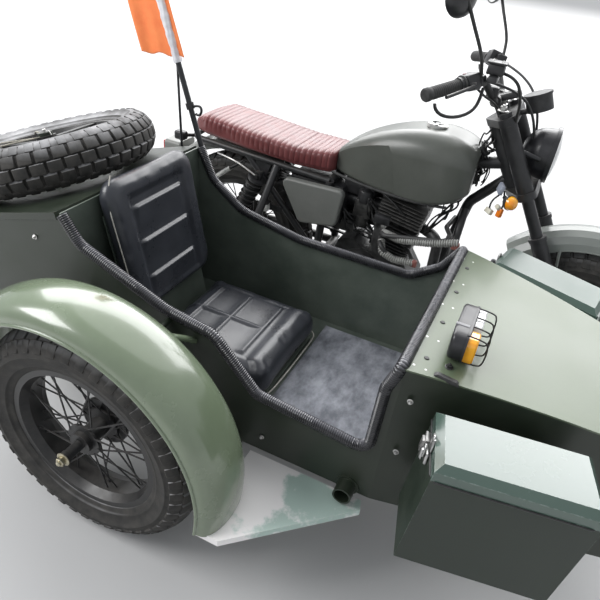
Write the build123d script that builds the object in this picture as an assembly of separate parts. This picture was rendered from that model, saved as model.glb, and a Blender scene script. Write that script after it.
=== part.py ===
"""A roadster motorcycle with a flat-panelled sidecar on its right, in millimetres.

The pieces are modelled from the ground under the rear axle: +X forward, +Y left, +Z up,
with the motorcycle's middle plane at y = 0. ORIGIN_SHIFT then puts the frame's origin on
the ground under the middle of the whole vehicle.
"""

import os
from math import cos, radians, sin, tan

from build123d import *

ORIGIN_SHIFT = Vector(-526.0, 474.2, 0.0)

# Motorcycle layout
WHEEL_R = 320.0
WHEELBASE = 1349.0
RAKE = 31.0
FORK_OFFSET = 50.0
FORK_HALF_SPACING = 102.0
FRAME_TUBE_R = 15.0
FRAME_HALF_WIDTH = 105.0
SWING_PIVOT = (395.0, WHEEL_R + 15.0)
FRAME_FLOOR_Z = 225.0
DOWN_TUBE_FOOT_X = WHEELBASE - 537.0
SEAT_RAIL_Z = 664.0
SEAT_TAIL_X = -190.0

# Sidecar layout
TUB_Y = -716.0
TUB_HALF = 313.0
TUB_FLOOR_Z = 280.0
TUB_TAIL_X = -470.0
COCKPIT_REAR_X = 40.0
COCKPIT_FRONT_X = 946.0
NOSE_X = 1620.0
NOSE_FOOT_X = 1545.0
NOSE_HALF = 164.0
PANEL = 4.0
SIDECAR_WHEEL = (260.0, TUB_Y - TUB_HALF - 195.0, WHEEL_R)

# Axles and running fits
AXLE_R = 8.0
RUNNING_GAP = 0.05

# Tyres and wire wheels, 16 inch
TYRE_HALF = 68.0
FRONT_TYRE_HALF = 60.0
RIM_SEAT_R = 203.0
RIM_FLANGE_R = 217.0
RIM_HALF = 44.0
RIM_LIP = 6.0
RIM_WELL_R = 189.0
HUB_BARREL_R = 30.0
HUB_HALF = 50.0
HUB_FLANGE_R = 48.0
HUB_FLANGE_Y = 33.0
SPOKE = 3.2
SPOKES_PER_SIDE = 18


def fused(pieces):
    """One solid from pieces that overlap or touch."""
    return pieces[0] + pieces[1:]


def rod(start, end, radius):
    """A round bar from one point to another."""
    start, end = Vector(*start), Vector(*end)
    run = end - start
    bar = Cylinder(radius, run.length, align=(Align.CENTER, Align.CENTER, Align.MIN))
    return Plane(origin=start, z_dir=run) * bar


def pipe(points, radius, bend):
    """A round tube along straight runs joined by tangent arcs of radius bend."""
    path = FilletPolyline(*points, radius=bend)
    return sweep(Plane(origin=path @ 0, z_dir=path % 0) * Circle(radius), path=path)


def side_plate(outline, y_low, y_high):
    """A plate with an outline of (x, z) points or edges, between two planes of y."""
    if isinstance(outline, list):
        outline = Polyline(*outline, close=True)
    face = Plane.XZ.offset(-y_high) * make_face(outline)
    return extrude(face, amount=y_high - y_low)


def turned(profile, centre=(0.0, 0.0, 0.0)):
    """A ring or disc turned about Y from (radius, y) points."""
    return Pos(*centre) * revolve(make_face(Polyline(*profile, close=True)), axis=Axis.Y)


def across(centre, radius, y_low, y_high):
    """A round bar along Y at an (x, z) centre."""
    return rod((centre[0], y_low, centre[1]), (centre[0], y_high, centre[1]), radius)


def both_sides(piece):
    """A piece and its mirror image about the motorcycle's middle plane."""
    return [piece, mirror(piece, about=Plane.XZ)]


PARTS = {}

# Tyres: a ring of flat sectors whose shoulder blocks stand out on the two sides in turn
TYRE_SECTORS = 48
BEAD_HALF = 28.0
SHOULDERS = {
    # (drop from the crown, share of the half width) of the outer and the inner shoulder
    "block": ((26.0, 1.0), (5.0, 0.64)),
    "gap": ((30.0, 0.88), (11.0, 0.52)),
}
CROWN_SHARE = 0.26


def tyre(half):
    turn = 360.0 / TYRE_SECTORS
    crown = WHEEL_R * cos(radians(turn / 2))
    reach = WHEEL_R * tan(radians(turn / 2))
    wedge = extrude(Plane.XZ * make_face(Polyline(
        (0, 0), (2 * WHEEL_R, 2 * reach), (2 * WHEEL_R, -2 * reach), close=True)), amount=WHEEL_R, both=True)

    def side(shoulder, sign):
        outer, inner = SHOULDERS[shoulder]
        return [
            (RIM_SEAT_R, sign * BEAD_HALF), (crown - 58.0, sign * half),
            (crown - outer[0], sign * outer[1] * half), (crown - inner[0], sign * inner[1] * half),
            (crown, sign * CROWN_SHARE * half),
        ]

    sectors = []
    for left, right in (("block", "gap"), ("gap", "block")):
        outline = side(left, 1) + list(reversed(side(right, -1)))
        sectors.append(extrude(make_face(Polyline(*outline, close=True)), amount=reach, both=True) & wedge)
    ring = [Rot(0, index * turn, 0) * sectors[index % 2] for index in range(TYRE_SECTORS)]
    return Rot(0, turn / 2, 0) * fused(ring)


def wire_wheel():
    """Rim, hub and laced spokes about the origin, with a bore for the axle."""
    rim = turned([
        (RIM_FLANGE_R, RIM_HALF - RIM_LIP), (RIM_FLANGE_R, RIM_HALF), (RIM_SEAT_R - 3.0, RIM_HALF),
        (RIM_WELL_R, 22.0), (RIM_WELL_R, -22.0), (RIM_SEAT_R - 3.0, -RIM_HALF),
        (RIM_FLANGE_R, -RIM_HALF), (RIM_FLANGE_R, RIM_LIP - RIM_HALF),
        (RIM_SEAT_R, RIM_LIP - RIM_HALF), (RIM_SEAT_R, RIM_HALF - RIM_LIP),
    ])
    hub = turned([
        (AXLE_R + RUNNING_GAP, -HUB_HALF), (HUB_BARREL_R, -HUB_HALF),
        (HUB_BARREL_R, -HUB_FLANGE_Y - 3.0), (HUB_FLANGE_R, -HUB_FLANGE_Y - 3.0),
        (HUB_FLANGE_R, -HUB_FLANGE_Y + 3.0), (HUB_BARREL_R - 4.0, -HUB_FLANGE_Y + 6.0),
        (HUB_BARREL_R - 4.0, HUB_FLANGE_Y - 6.0), (HUB_FLANGE_R, HUB_FLANGE_Y - 3.0),
        (HUB_FLANGE_R, HUB_FLANGE_Y + 3.0), (HUB_BARREL_R, HUB_FLANGE_Y + 3.0),
        (HUB_BARREL_R, HUB_HALF), (AXLE_R + RUNNING_GAP, HUB_HALF),
    ])
    spokes = []
    lacing = 34.0
    for side in (1, -1):
        for index in range(SPOKES_PER_SIDE):
            lead = 1 if index % 2 else -1
            foot = 360.0 / SPOKES_PER_SIDE * (index + 0.25 * side)
            head = foot + lead * lacing
            hub_y = side * (HUB_FLANGE_Y + 3.0 * lead)
            rim_y = side * (8.0 + 4.0 * lead)
            start = Vector(0, hub_y, HUB_FLANGE_R - 5.0).rotate(Axis.Y, foot)
            end = Vector(0, rim_y, RIM_WELL_R + 1.5).rotate(Axis.Y, head)
            run = end - start
            bar = Box(SPOKE, SPOKE, run.length, align=(Align.CENTER, Align.CENTER, Align.MIN))
            spokes.append(Plane(origin=start, z_dir=run) * bar)
    return fused([rim, hub] + spokes)


WHEEL = wire_wheel()
TYRE = tyre(TYRE_HALF)
FRONT_TYRE = tyre(FRONT_TYRE_HALF)
REAR_AT = Pos(0, 0, WHEEL_R)
FRONT_AT = Pos(WHEELBASE, 0, WHEEL_R)
SIDECAR_AT = Pos(*SIDECAR_WHEEL)

DISC_R = 130.0
DISC_Y = 57.0
SPROCKET_R = 78.0
SPROCKET_Y = 84.0
DRUM_R = 70.0

PARTS["rear_tyre"] = REAR_AT * TYRE
PARTS["front_tyre"] = FRONT_AT * FRONT_TYRE
PARTS["sidecar_tyre"] = SIDECAR_AT * TYRE
BRAKE_DISC = turned([
    (HUB_BARREL_R - 12.0, HUB_HALF), (HUB_BARREL_R, HUB_HALF), (HUB_BARREL_R + 18.0, DISC_Y - 2.0),
    (DISC_R, DISC_Y - 2.0), (DISC_R, DISC_Y + 2.0), (HUB_BARREL_R + 16.0, DISC_Y + 2.0),
    (HUB_BARREL_R - 12.0, HUB_HALF + 4.0),
])
DRUM = turned([
    (HUB_BARREL_R, -HUB_HALF), (DRUM_R, -HUB_HALF), (DRUM_R, -HUB_FLANGE_Y - 6.0),
    (HUB_BARREL_R, -HUB_FLANGE_Y - 6.0),
])
SPROCKET = turned([
    (AXLE_R + 6.0, HUB_HALF), (HUB_BARREL_R - 2.0, HUB_HALF), (HUB_BARREL_R - 2.0, SPROCKET_Y - 3.0),
    (SPROCKET_R, SPROCKET_Y - 3.0), (SPROCKET_R, SPROCKET_Y + 3.0), (AXLE_R + 6.0, SPROCKET_Y + 3.0),
])
PARTS["front_wheel_rim"] = FRONT_AT * fused([WHEEL, BRAKE_DISC])
PARTS["rear_wheel_rim"] = REAR_AT * fused([WHEEL, DRUM, SPROCKET])
PARTS["sidecar_wheel_rim"] = SIDECAR_AT * fused([WHEEL, mirror(DRUM, about=Plane.XZ)])

# Steering geometry: distances up the fork from the front axle
UP = Vector(-sin(radians(RAKE)), 0, cos(radians(RAKE)))
AHEAD = Vector(cos(radians(RAKE)), 0, sin(radians(RAKE)))
AXLE = Vector(WHEELBASE, 0, WHEEL_R)
LOWER_YOKE = 548.0
UPPER_YOKE = 790.0
YOKE = 24.0
STEM_R = 13.0
HEAD_TUBE_R = 26.0
STANCHION_R = 19.0
LEG_R = 26.0
LEG_TOP = 400.0
FORK_TOP = 828.0
COVER_R = 26.0


def on_fork(up, side=0.0, ahead=0.0):
    """A point from its distances up the fork, to the left and ahead of the fork's line."""
    return AXLE + UP * up + AHEAD * ahead + Vector(0, side, 0)


def on_steering(up):
    return on_fork(up, 0.0, -FORK_OFFSET)


def from_axle(x, y, z):
    """A point carried by the steering, from the front axle."""
    return (WHEELBASE + x, y, WHEEL_R + z)


FORK_PLANE = Plane(origin=AXLE, x_dir=AHEAD, z_dir=UP)


def yoke(up, clamp_r):
    """A plate that clamps both fork tubes and the steering stem."""
    arms = [
        Pos(0, side * FORK_HALF_SPACING, 0) * Circle(clamp_r) for side in (1, -1)
    ]
    stem = Pos(-FORK_OFFSET, 0, 0) * Circle(HEAD_TUBE_R + 3.0)
    outline = make_hull((stem + arms).edges())
    plate = FORK_PLANE.offset(up) * extrude(make_face(outline), amount=YOKE)
    for side in (1, -1):
        start = on_fork(up - 1.0, side * FORK_HALF_SPACING)
        end = on_fork(up + YOKE + 1.0, side * FORK_HALF_SPACING)
        plate -= rod(start, end, STANCHION_R)
    return plate


STEM = rod(on_steering(LOWER_YOKE + YOKE / 2), on_steering(UPPER_YOKE + YOKE / 2), STEM_R)
PARTS["steering_yokes"] = fused([yoke(LOWER_YOKE, 31.0), yoke(UPPER_YOKE, 28.0), STEM])


def fork_leg(side):
    y = side * FORK_HALF_SPACING
    leg = rod(on_fork(-30.0, y), on_fork(LEG_TOP, y), LEG_R)
    seal = rod(on_fork(LEG_TOP, y), on_fork(LEG_TOP + 14.0, y), LEG_R + 3.0)
    tube = rod(on_fork(LEG_TOP, y), on_fork(FORK_TOP, y), STANCHION_R)
    cover = rod(on_fork(LOWER_YOKE + YOKE, y), on_fork(UPPER_YOKE, y), COVER_R)
    hole = across((WHEELBASE, WHEEL_R), AXLE_R, y - 60.0, y + 60.0)
    return fused([leg, seal, tube, cover]) - hole


# Brake caliper behind the left leg, straddling the disc
CALIPER = (76.0, 46.0, 56.0)
CALIPER_GAP = 5.0
caliper = Plane(origin=on_fork(104.0, DISC_Y + 10.0, -44.0), x_dir=AHEAD, z_dir=UP) * Box(
    CALIPER[2], CALIPER[1], CALIPER[0])
caliper = fillet(caliper.edges().filter_by(Axis.Y), 9.0)
disc_slot = FRONT_AT * turned([
    (HUB_BARREL_R, DISC_Y - 2.0 - CALIPER_GAP), (DISC_R + CALIPER_GAP, DISC_Y - 2.0 - CALIPER_GAP),
    (DISC_R + CALIPER_GAP, DISC_Y + 2.0 + CALIPER_GAP), (HUB_BARREL_R, DISC_Y + 2.0 + CALIPER_GAP),
])
PARTS["fork_legs"] = fused([fork_leg(1), caliper - disc_slot]) + fork_leg(-1)
PARTS["front_axle"] = fused([
    across((WHEELBASE, WHEEL_R), AXLE_R, -138.0, 138.0),
    across((WHEELBASE, WHEEL_R), AXLE_R + 6.0, -138.0, -FORK_HALF_SPACING - LEG_R),
    across((WHEELBASE, WHEEL_R), AXLE_R + 6.0, FORK_HALF_SPACING + LEG_R, 138.0),
])

# Front fender between the fork legs, held by stays
FRONT_FENDER_R = WHEEL_R + 82.0
FRONT_FENDER_LIP_R = WHEEL_R + 20.0
FRONT_FENDER_HALF = 72.0
FENDER_SHEET = 3.0
FENDER_TURNS = (0.0, 22.0, 45.0, 68.0, 90.0, 112.0, 135.0, 158.0, 180.0)


def fender(crown_r, lip_r, half, first, last, bead):
    """A trough round the wheel from the angle first to last, from ahead over the top."""
    rise = crown_r - lip_r
    outer = [(lip_r + rise * sin(radians(turn)), half * cos(radians(turn))) for turn in FENDER_TURNS]
    inner_rise, inner_half = rise - FENDER_SHEET, half - FENDER_SHEET
    inner = [(lip_r + inner_rise * sin(radians(turn)), inner_half * cos(radians(turn)))
             for turn in reversed(FENDER_TURNS)]
    shell = revolve(make_face(Polyline(*outer, *inner, close=True)), axis=Axis.Y, revolution_arc=first - last)
    rims = []
    for side in (1, -1):
        wire = Pos(lip_r, side * (half - FENDER_SHEET / 2), 0) * RegularPolygon(bead, 6)
        rims.append(revolve(wire, axis=Axis.Y, revolution_arc=first - last))
    return Rot(0, -first, 0) * fused([shell] + rims)


FENDER_STAYS = [
    # degrees round the wheel to the fender's lip, distance up the fork, bar radius
    (134.0, 215.0, 5.0),
    (112.0, 215.0, 5.0),
    (58.0, 60.0, 5.0),
]
front_fender_pieces = [FRONT_AT * fender(
    FRONT_FENDER_R, FRONT_FENDER_LIP_R, FRONT_FENDER_HALF, 45.0, 138.0, 3.0
)]
for angle, up, radius in FENDER_STAYS:
    lip = Vector(FRONT_FENDER_LIP_R + 3.0, 0, 0).rotate(Axis.Y, -angle) + AXLE
    for side in (1, -1):
        front_fender_pieces.append(rod(
            (lip.X, side * (FRONT_FENDER_HALF - FENDER_SHEET / 2), lip.Z),
            on_fork(up, side * FORK_HALF_SPACING), radius))
PARTS["front_fender"] = fused(front_fender_pieces) - PARTS["fork_legs"]

# Handlebar, grips and levers
BAR_R = 11.0
GRIP_R = 16.0
BAR_CLAMP = (WHEELBASE - 469.0, WHEEL_R + 726.0)
BAR_SPAN = 74.0
CLAMP_INNER, CLAMP_OUTER, CLAMP_R = 34.0, 58.0, 17.0
BAR_BEND = from_axle(-507.0, 135.0, 792.0)
GRIP_INNER = from_axle(-545.0, 240.0, 798.0)
GRIP_OUTER = from_axle(-620.0, 366.0, 774.0)
GRIP_LENGTH = 122.0


def flipped(point):
    return (point[0], -point[1], point[2])


bar_path = [
    flipped(GRIP_OUTER), flipped(GRIP_INNER), flipped(BAR_BEND), (BAR_CLAMP[0], -BAR_SPAN, BAR_CLAMP[1]),
    (BAR_CLAMP[0], BAR_SPAN, BAR_CLAMP[1]), BAR_BEND, GRIP_INNER, GRIP_OUTER,
]
bar = pipe(bar_path, BAR_R, 34.0)
risers = []
clamp_y = (CLAMP_INNER + CLAMP_OUTER) / 2
for side in (1, -1):
    foot = on_fork(UPPER_YOKE + YOKE, side * clamp_y, -24.0)
    risers.append(rod(foot, (BAR_CLAMP[0], side * clamp_y, BAR_CLAMP[1]), 10.0))
    risers.append(across(BAR_CLAMP, CLAMP_R, side * clamp_y - 12.0, side * clamp_y + 12.0))

grips, levers = [], []
for side in (1, -1):
    inner = Vector(GRIP_INNER[0], side * GRIP_INNER[1], GRIP_INNER[2])
    outer = Vector(GRIP_OUTER[0], side * GRIP_OUTER[1], GRIP_OUTER[2])
    along = (outer - inner).normalized()
    start = outer - along * (GRIP_LENGTH - 6.0)
    end = outer + along * 6.0
    grips.append(rod(start, end, GRIP_R) - rod(start - along, outer, BAR_R))
    perch = start - along * 34.0
    housing = rod(perch, start - along, 20.0)
    pivot = perch + along * 10.0 + Vector(34.0, side * 2.0, 2.0)
    tip = outer + Vector(52.0, 0, 4.0)
    levers.append(fused([housing, rod(perch + along * 14.0 + Vector(16, 0, 2), pivot, 9.0),
                         pipe([pivot, pivot + along * 60.0 + Vector(8.0, 0, 0), tip], 5.0, 60.0)]))
PARTS["grips"] = grips[0] + grips[1]
PARTS["handlebar"] = fused([bar] + risers + levers) - PARTS["steering_yokes"] - PARTS["grips"]

# Mirrors on bent stalks
MIRROR_FOOT = from_axle(-511.0, 212.0, 808.0)
MIRROR_KNEE = from_axle(-507.0, 252.0, 876.0)
MIRROR_TOP = from_axle(-559.0, 268.0, 976.0)
MIRROR_R = 58.0
mirrors = []
for side in (1, -1):
    stalk = pipe([(x, side * y, z) for x, y, z in (MIRROR_FOOT, MIRROR_KNEE, MIRROR_TOP)], 5.0, 40.0)
    top = Vector(MIRROR_TOP[0], side * MIRROR_TOP[1], MIRROR_TOP[2])
    face = Plane(origin=top + Vector(-4, side * 22.0, 44.0), z_dir=(1, side * -0.25, 0.12))
    cup = face * Cylinder(MIRROR_R, 14.0)
    dome = face * Pos(0, 0, 7.0) * Cylinder(MIRROR_R - 12.0, 10.0)
    neck = rod(top, face.origin + face.z_dir * 8.0, 6.0)
    mirrors.append(fused([stalk, cup, dome, neck]))
PARTS["mirrors"] = mirrors[0] + mirrors[1]

# Headlamp on two brackets, round gauge, turn signals
LAMP_AT = from_axle(-297.0, 0.0, 592.0)
LAMP_R = 84.0
bowl_profile = make_face([
    Line((-52, 0), (-52, 22)),
    ThreePointArc((-52, 22), (-34, 58), (0, LAMP_R - 6)),
    Line((0, LAMP_R - 6), (34, LAMP_R - 2)),
    Line((34, LAMP_R - 2), (34, LAMP_R + 4)),
    Line((34, LAMP_R + 4), (48, LAMP_R + 4)),
    Line((48, LAMP_R + 4), (48, 0)),
    Line((48, 0), (-52, 0)),
])
bowl = Pos(*LAMP_AT) * revolve(bowl_profile, axis=Axis.X)
lens_profile = make_face(Polyline((48, 0), (62, 0), (60, 34), (55, 60), (48, LAMP_R - 8), close=True))
PARTS["headlamp_lens"] = Pos(*LAMP_AT) * revolve(lens_profile, axis=Axis.X)
brackets = []
for side in (1, -1):
    root = on_fork(UPPER_YOKE - 95.0, side * (FORK_HALF_SPACING - STANCHION_R - 4.0), STANCHION_R - 4.0)
    ear = Vector(LAMP_AT[0] + 12.0, side * (LAMP_R - 4.0), LAMP_AT[2])
    brackets.append(rod(root, ear, 8.0))
PARTS["headlamp"] = fused([bowl] + brackets) - PARTS["fork_legs"] - PARTS["steering_yokes"]

GAUGE_AT = Vector(*from_axle(-345.0, 0.0, 740.0))
GAUGE_R = 40.0
gauge_plane = Plane(origin=GAUGE_AT, z_dir=(-0.42, 0, 0.9))
gauge = fused([
    gauge_plane * Cylinder(GAUGE_R, 50.0),
    gauge_plane * Pos(0, 0, 25.0) * Cylinder(GAUGE_R + 3.0, 8.0),
    rod(GAUGE_AT - gauge_plane.z_dir * 20.0, on_fork(UPPER_YOKE + YOKE / 2, 0.0, 8.0), 9.0),
])
PARTS["gauge"] = gauge - PARTS["steering_yokes"]

SIGNAL_AT = from_axle(-337.0, 158.0, 458.0)
signals = []
for side in (1, -1):
    root = on_fork(LOWER_YOKE + YOKE / 2, side * (FORK_HALF_SPACING + 30.0), 0.0)
    lamp_at = (SIGNAL_AT[0], side * SIGNAL_AT[1], SIGNAL_AT[2])
    body = Pos(*lamp_at) * fillet(Box(46, 34, 30).edges(), 9.0)
    signals.append(fused([body, rod(root, lamp_at, 7.0)]) - PARTS["steering_yokes"])
PARTS["front_signals"] = signals[0] + signals[1]

# Motorcycle frame: head tube, backbone, down tube, cradle and seat loop
HEAD_LOW = LOWER_YOKE + YOKE + 1.0
HEAD_HIGH = UPPER_YOKE - 1.0
head_tube = rod(on_steering(HEAD_LOW), on_steering(HEAD_HIGH), HEAD_TUBE_R)
head_bore = rod(on_steering(HEAD_LOW - 5.0), on_steering(HEAD_HIGH + 5.0), STEM_R + RUNNING_GAP)
BACKBONE_R = 20.0
BACKBONE_FRONT = on_steering(HEAD_LOW + 80.0)
BACKBONE_KNEE = (440.0, 0.0, 726.0)
backbone = pipe([BACKBONE_FRONT, BACKBONE_KNEE, (396.0, 0.0, SEAT_RAIL_Z)], BACKBONE_R, 50.0)
down_tube = pipe(
    [on_steering(HEAD_LOW + 34.0), from_axle(-461.0, 0.0, 370.0), (DOWN_TUBE_FOOT_X + 18.0, 0.0, 330.0),
     (DOWN_TUBE_FOOT_X, 0.0, FRAME_FLOOR_Z)],
    18.0, 60.0,
)
front_cross = across((DOWN_TUBE_FOOT_X, FRAME_FLOOR_Z), FRAME_TUBE_R, -FRAME_HALF_WIDTH, FRAME_HALF_WIDTH)
cradle = pipe(
    [(DOWN_TUBE_FOOT_X, FRAME_HALF_WIDTH, FRAME_FLOOR_Z), (430.0, FRAME_HALF_WIDTH, FRAME_FLOOR_Z),
     (SWING_PIVOT[0] - 12.0, FRAME_HALF_WIDTH, SWING_PIVOT[1]), (400.0, FRAME_HALF_WIDTH, SEAT_RAIL_Z)],
    FRAME_TUBE_R, 55.0,
)
rail = pipe(
    [(400.0, FRAME_HALF_WIDTH, SEAT_RAIL_Z), (SEAT_TAIL_X, FRAME_HALF_WIDTH, SEAT_RAIL_Z + 26.0),
     (SEAT_TAIL_X - 8.0, 0.0, SEAT_RAIL_Z + 28.0)],
    FRAME_TUBE_R - 3.0, 50.0,
)
stay = rod((SWING_PIVOT[0] - 8.0, FRAME_HALF_WIDTH, SWING_PIVOT[1] + 18.0),
           (60.0, FRAME_HALF_WIDTH, SEAT_RAIL_Z + 12.0), FRAME_TUBE_R - 3.0)
rear_cross = across((SWING_PIVOT[0] + 24.0, FRAME_FLOOR_Z + 30.0), FRAME_TUBE_R, -FRAME_HALF_WIDTH,
                    FRAME_HALF_WIDTH)
top_cross = across((400.0, SEAT_RAIL_Z + 2.0), FRAME_TUBE_R, -FRAME_HALF_WIDTH, FRAME_HALF_WIDTH)

# Twin shocks, from pins on the seat loop to the swinging arm
SHOCK_TOP = (128.0, 625.0)
SHOCK_FOOT = (18.0, WHEEL_R + 46.0)
SHOCK_Y = 148.0
SHOCK_PIN_R = 8.0
shock_pin = across(SHOCK_TOP, SHOCK_PIN_R, FRAME_HALF_WIDTH - 8.0, SHOCK_Y + 20.0)
shock_ear = side_plate(
    [(SHOCK_TOP[0] - 34.0, SEAT_RAIL_Z + 6.0), (SHOCK_TOP[0] + 34.0, SEAT_RAIL_Z + 6.0),
     (SHOCK_TOP[0] + 16.0, SHOCK_TOP[1] - 14.0), (SHOCK_TOP[0] - 16.0, SHOCK_TOP[1] - 14.0)],
    FRAME_HALF_WIDTH - 6.0, FRAME_HALF_WIDTH + 6.0,
)
frame_pieces = [head_tube, backbone, down_tube, front_cross, rear_cross, top_cross]
for piece in (cradle, rail, stay, shock_pin, shock_ear):
    frame_pieces += both_sides(piece)
pivot_bolt = across(SWING_PIVOT, 7.0, -FRAME_HALF_WIDTH - 22.0, FRAME_HALF_WIDTH + 22.0)
BIKE_FRAME = fused(frame_pieces) - head_bore

# Swinging arm with the rear axle
ARM_R = 17.0
ARM_HALF = 112.0
ARM_KNEE = (150.0, ARM_HALF, WHEEL_R + 8.0)
arm = rod((SWING_PIVOT[0], 78.0, SWING_PIVOT[1]), ARM_KNEE, ARM_R)
arm_tail = rod(ARM_KNEE, (0.0, ARM_HALF, WHEEL_R), ARM_R)
arm_joint = Pos(*ARM_KNEE) * Sphere(ARM_R)
arm_end = across((0.0, WHEEL_R), 24.0, ARM_HALF - ARM_R, ARM_HALF + ARM_R)
arm_tube = across(SWING_PIVOT, 19.0, -84.0, 84.0)
foot_pin = across(SHOCK_FOOT, SHOCK_PIN_R, ARM_HALF - 4.0, SHOCK_Y + 18.0)
foot_ear = side_plate(
    [(SHOCK_FOOT[0] - 22.0, WHEEL_R + 4.0), (SHOCK_FOOT[0] + 30.0, WHEEL_R + 4.0),
     (SHOCK_FOOT[0] + 13.0, SHOCK_FOOT[1] + 12.0), (SHOCK_FOOT[0] - 13.0, SHOCK_FOOT[1] + 12.0)],
    ARM_HALF - 4.0, ARM_HALF + 4.0,
)
swing_pieces = [arm_tube, pivot_bolt]
for piece in (arm, arm_tail, arm_joint, arm_end, foot_pin, foot_ear):
    swing_pieces += both_sides(piece)
AXLE_END = ARM_HALF + ARM_R + 14.0
rear_bolt = across((0.0, WHEEL_R), AXLE_R, -AXLE_END, AXLE_END)
PARTS["swinging_arm"] = fused(swing_pieces) - rear_bolt
AXLE_SPANS = [
    # y from, y to, for the nuts outside the arms and the spacers inside them
    (-AXLE_END, -ARM_HALF - ARM_R),
    (-ARM_HALF + ARM_R, -HUB_HALF - 1.0),
    (SPROCKET_Y + 4.0, ARM_HALF - ARM_R),
    (ARM_HALF + ARM_R, AXLE_END),
]
rear_axle = fused([rear_bolt] + [
    across((0.0, WHEEL_R), AXLE_R + 5.0, y_low, y_high) for y_low, y_high in AXLE_SPANS
])
BIKE_FRAME -= PARTS["swinging_arm"]
PARTS["bike_frame"] = BIKE_FRAME

SPRING_R = 29.0
SPRING_TURNS = 9
DAMPER_R, SEAT_R = 15.0, 31.0
EYE_R = 17.0
EYE_HALF = 11.0
EYE_GAP = 0.2


def shock(top, foot):
    """A damper with its spring, between two eyes whose pins lie along Y."""
    top, foot = Vector(*top), Vector(*foot)
    up = (top - foot).normalized()
    length = (top - foot).length
    low, high = 66.0, length - 40.0
    pitch = (high - low) / SPRING_TURNS
    outline = [(0.0, 6.0), (DAMPER_R, 6.0), (DAMPER_R, low - 14.0), (SEAT_R, low - 14.0), (SEAT_R, low)]
    for index in range(SPRING_TURNS):
        start = low + index * pitch
        outline += [(SPRING_R - 7.0, start), (SPRING_R, start + 0.32 * pitch),
                    (SPRING_R, start + 0.68 * pitch)]
    outline += [(SPRING_R - 7.0, high), (SEAT_R, high), (SEAT_R, high + 10.0), (12.0, high + 10.0),
                (12.0, length - 6.0), (0.0, length - 6.0)]
    profile = make_face(Polyline(*outline, close=True))
    body = Plane(origin=foot, z_dir=up) * Rot(90, 0, 0) * revolve(profile, axis=Axis.Y)
    eyes = [across((eye.X, eye.Z), EYE_R, eye.Y - EYE_HALF, eye.Y + EYE_HALF) for eye in (top, foot)]
    whole = fused([body] + eyes)
    for eye in (top, foot):
        whole -= across((eye.X, eye.Z), SHOCK_PIN_R + EYE_GAP, eye.Y - 40.0, eye.Y + 40.0)
    return whole


rear_shock = shock((SHOCK_TOP[0], SHOCK_Y, SHOCK_TOP[1]), (SHOCK_FOOT[0], SHOCK_Y, SHOCK_FOOT[1]))

# Engine: one solid crankcase with round covers, and a finned cylinder on it
CASE_HALF = 72.0
CASE_OUTLINE = [
    (452.0, 262.0), (500.0, 246.0), (700.0, 246.0), (772.0, 286.0), (772.0, 352.0),
    (718.0, 424.0), (560.0, 424.0), (520.0, 452.0), (462.0, 440.0), (440.0, 360.0),
]
case = side_plate(CASE_OUTLINE, -CASE_HALF, CASE_HALF)
case = fillet(case.edges().filter_by(Axis.Y), 18.0)
COVERS = [
    # x, z, radius, y from, y to
    (560.0, 334.0, 84.0, -CASE_HALF - 36.0, -CASE_HALF),
    (690.0, 330.0, 52.0, -CASE_HALF - 24.0, -CASE_HALF),
    (668.0, 330.0, 72.0, CASE_HALF, CASE_HALF + 32.0),
    (500.0, 340.0, 50.0, CASE_HALF, CASE_HALF + 26.0),
]
case_pieces = [case]
for x, z, radius, y_low, y_high in COVERS:
    case_pieces.append(across((x, z), radius, y_low - 2.0, y_high + 2.0))
PARTS["engine_block"] = fused(case_pieces)

CYLINDER_LEAN = 9.0
CYLINDER_FOOT = Vector(650.0, 0.0, 424.0)
FIN_COUNT = 9
FIN_PITCH = 13.0
FIN = 3.6
cylinder_plane = Plane(
    origin=CYLINDER_FOOT, x_dir=(cos(radians(CYLINDER_LEAN)), 0, -sin(radians(CYLINDER_LEAN))),
    z_dir=(sin(radians(CYLINDER_LEAN)), 0, cos(radians(CYLINDER_LEAN))),
)
barrel = cylinder_plane * Cylinder(50.0, 130.0, align=(Align.CENTER, Align.CENTER, Align.MIN))
fins = []
for index in range(FIN_COUNT):
    fin = extrude(RectangleRounded(158.0, 146.0, 30.0), amount=FIN)
    fins.append(cylinder_plane * Pos(0, 0, 14.0 + index * FIN_PITCH) * fin)
head_block = extrude(RectangleRounded(118.0, 112.0, 20.0), amount=92.0)
head_fins = []
for index, width in enumerate((158.0, 154.0, 146.0, 134.0)):
    fin = extrude(RectangleRounded(width, width - 16.0, 26.0), amount=FIN)
    head_fins.append(cylinder_plane * Pos(0, 0, 138.0 + index * FIN_PITCH) * fin)
head_cover = extrude(RectangleRounded(96.0, 92.0, 22.0), amount=22.0)

# Intake housing on the cylinder's right, and the two hoses from it
INTAKE_AT = (622.0, -128.0, 524.0)
INTAKE = (34.0, 44.0, 122.0)
HOSE_R = 8.0
intake = Pos(*INTAKE_AT) * fillet(Box(*INTAKE).edges().filter_by(Axis.Z), 8.0)
intake_neck = rod((640.0, -40.0, 520.0), (INTAKE_AT[0] + 4.0, INTAKE_AT[1] + 4.0, 520.0), 17.0)
HOSES = [
    # points from the intake housing to the down tube and to the foot of the cylinder, bend
    ([(630.0, -128.0, 563.0), (652.0, -196.0, 563.0), (893.0, -198.0, 616.0), (848.0, -110.0, 622.0),
      (858.0, -6.0, 622.0)], 30.0),
    ([(630.0, -128.0, 528.0), (654.0, -198.0, 526.0), (684.0, -200.0, 496.0), (782.0, -200.0, 499.0),
      (744.0, -90.0, 474.0), (690.0, -20.0, 470.0)], 18.0),
]
hoses = [pipe(points, HOSE_R, bend) for points, bend in HOSES]
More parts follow.
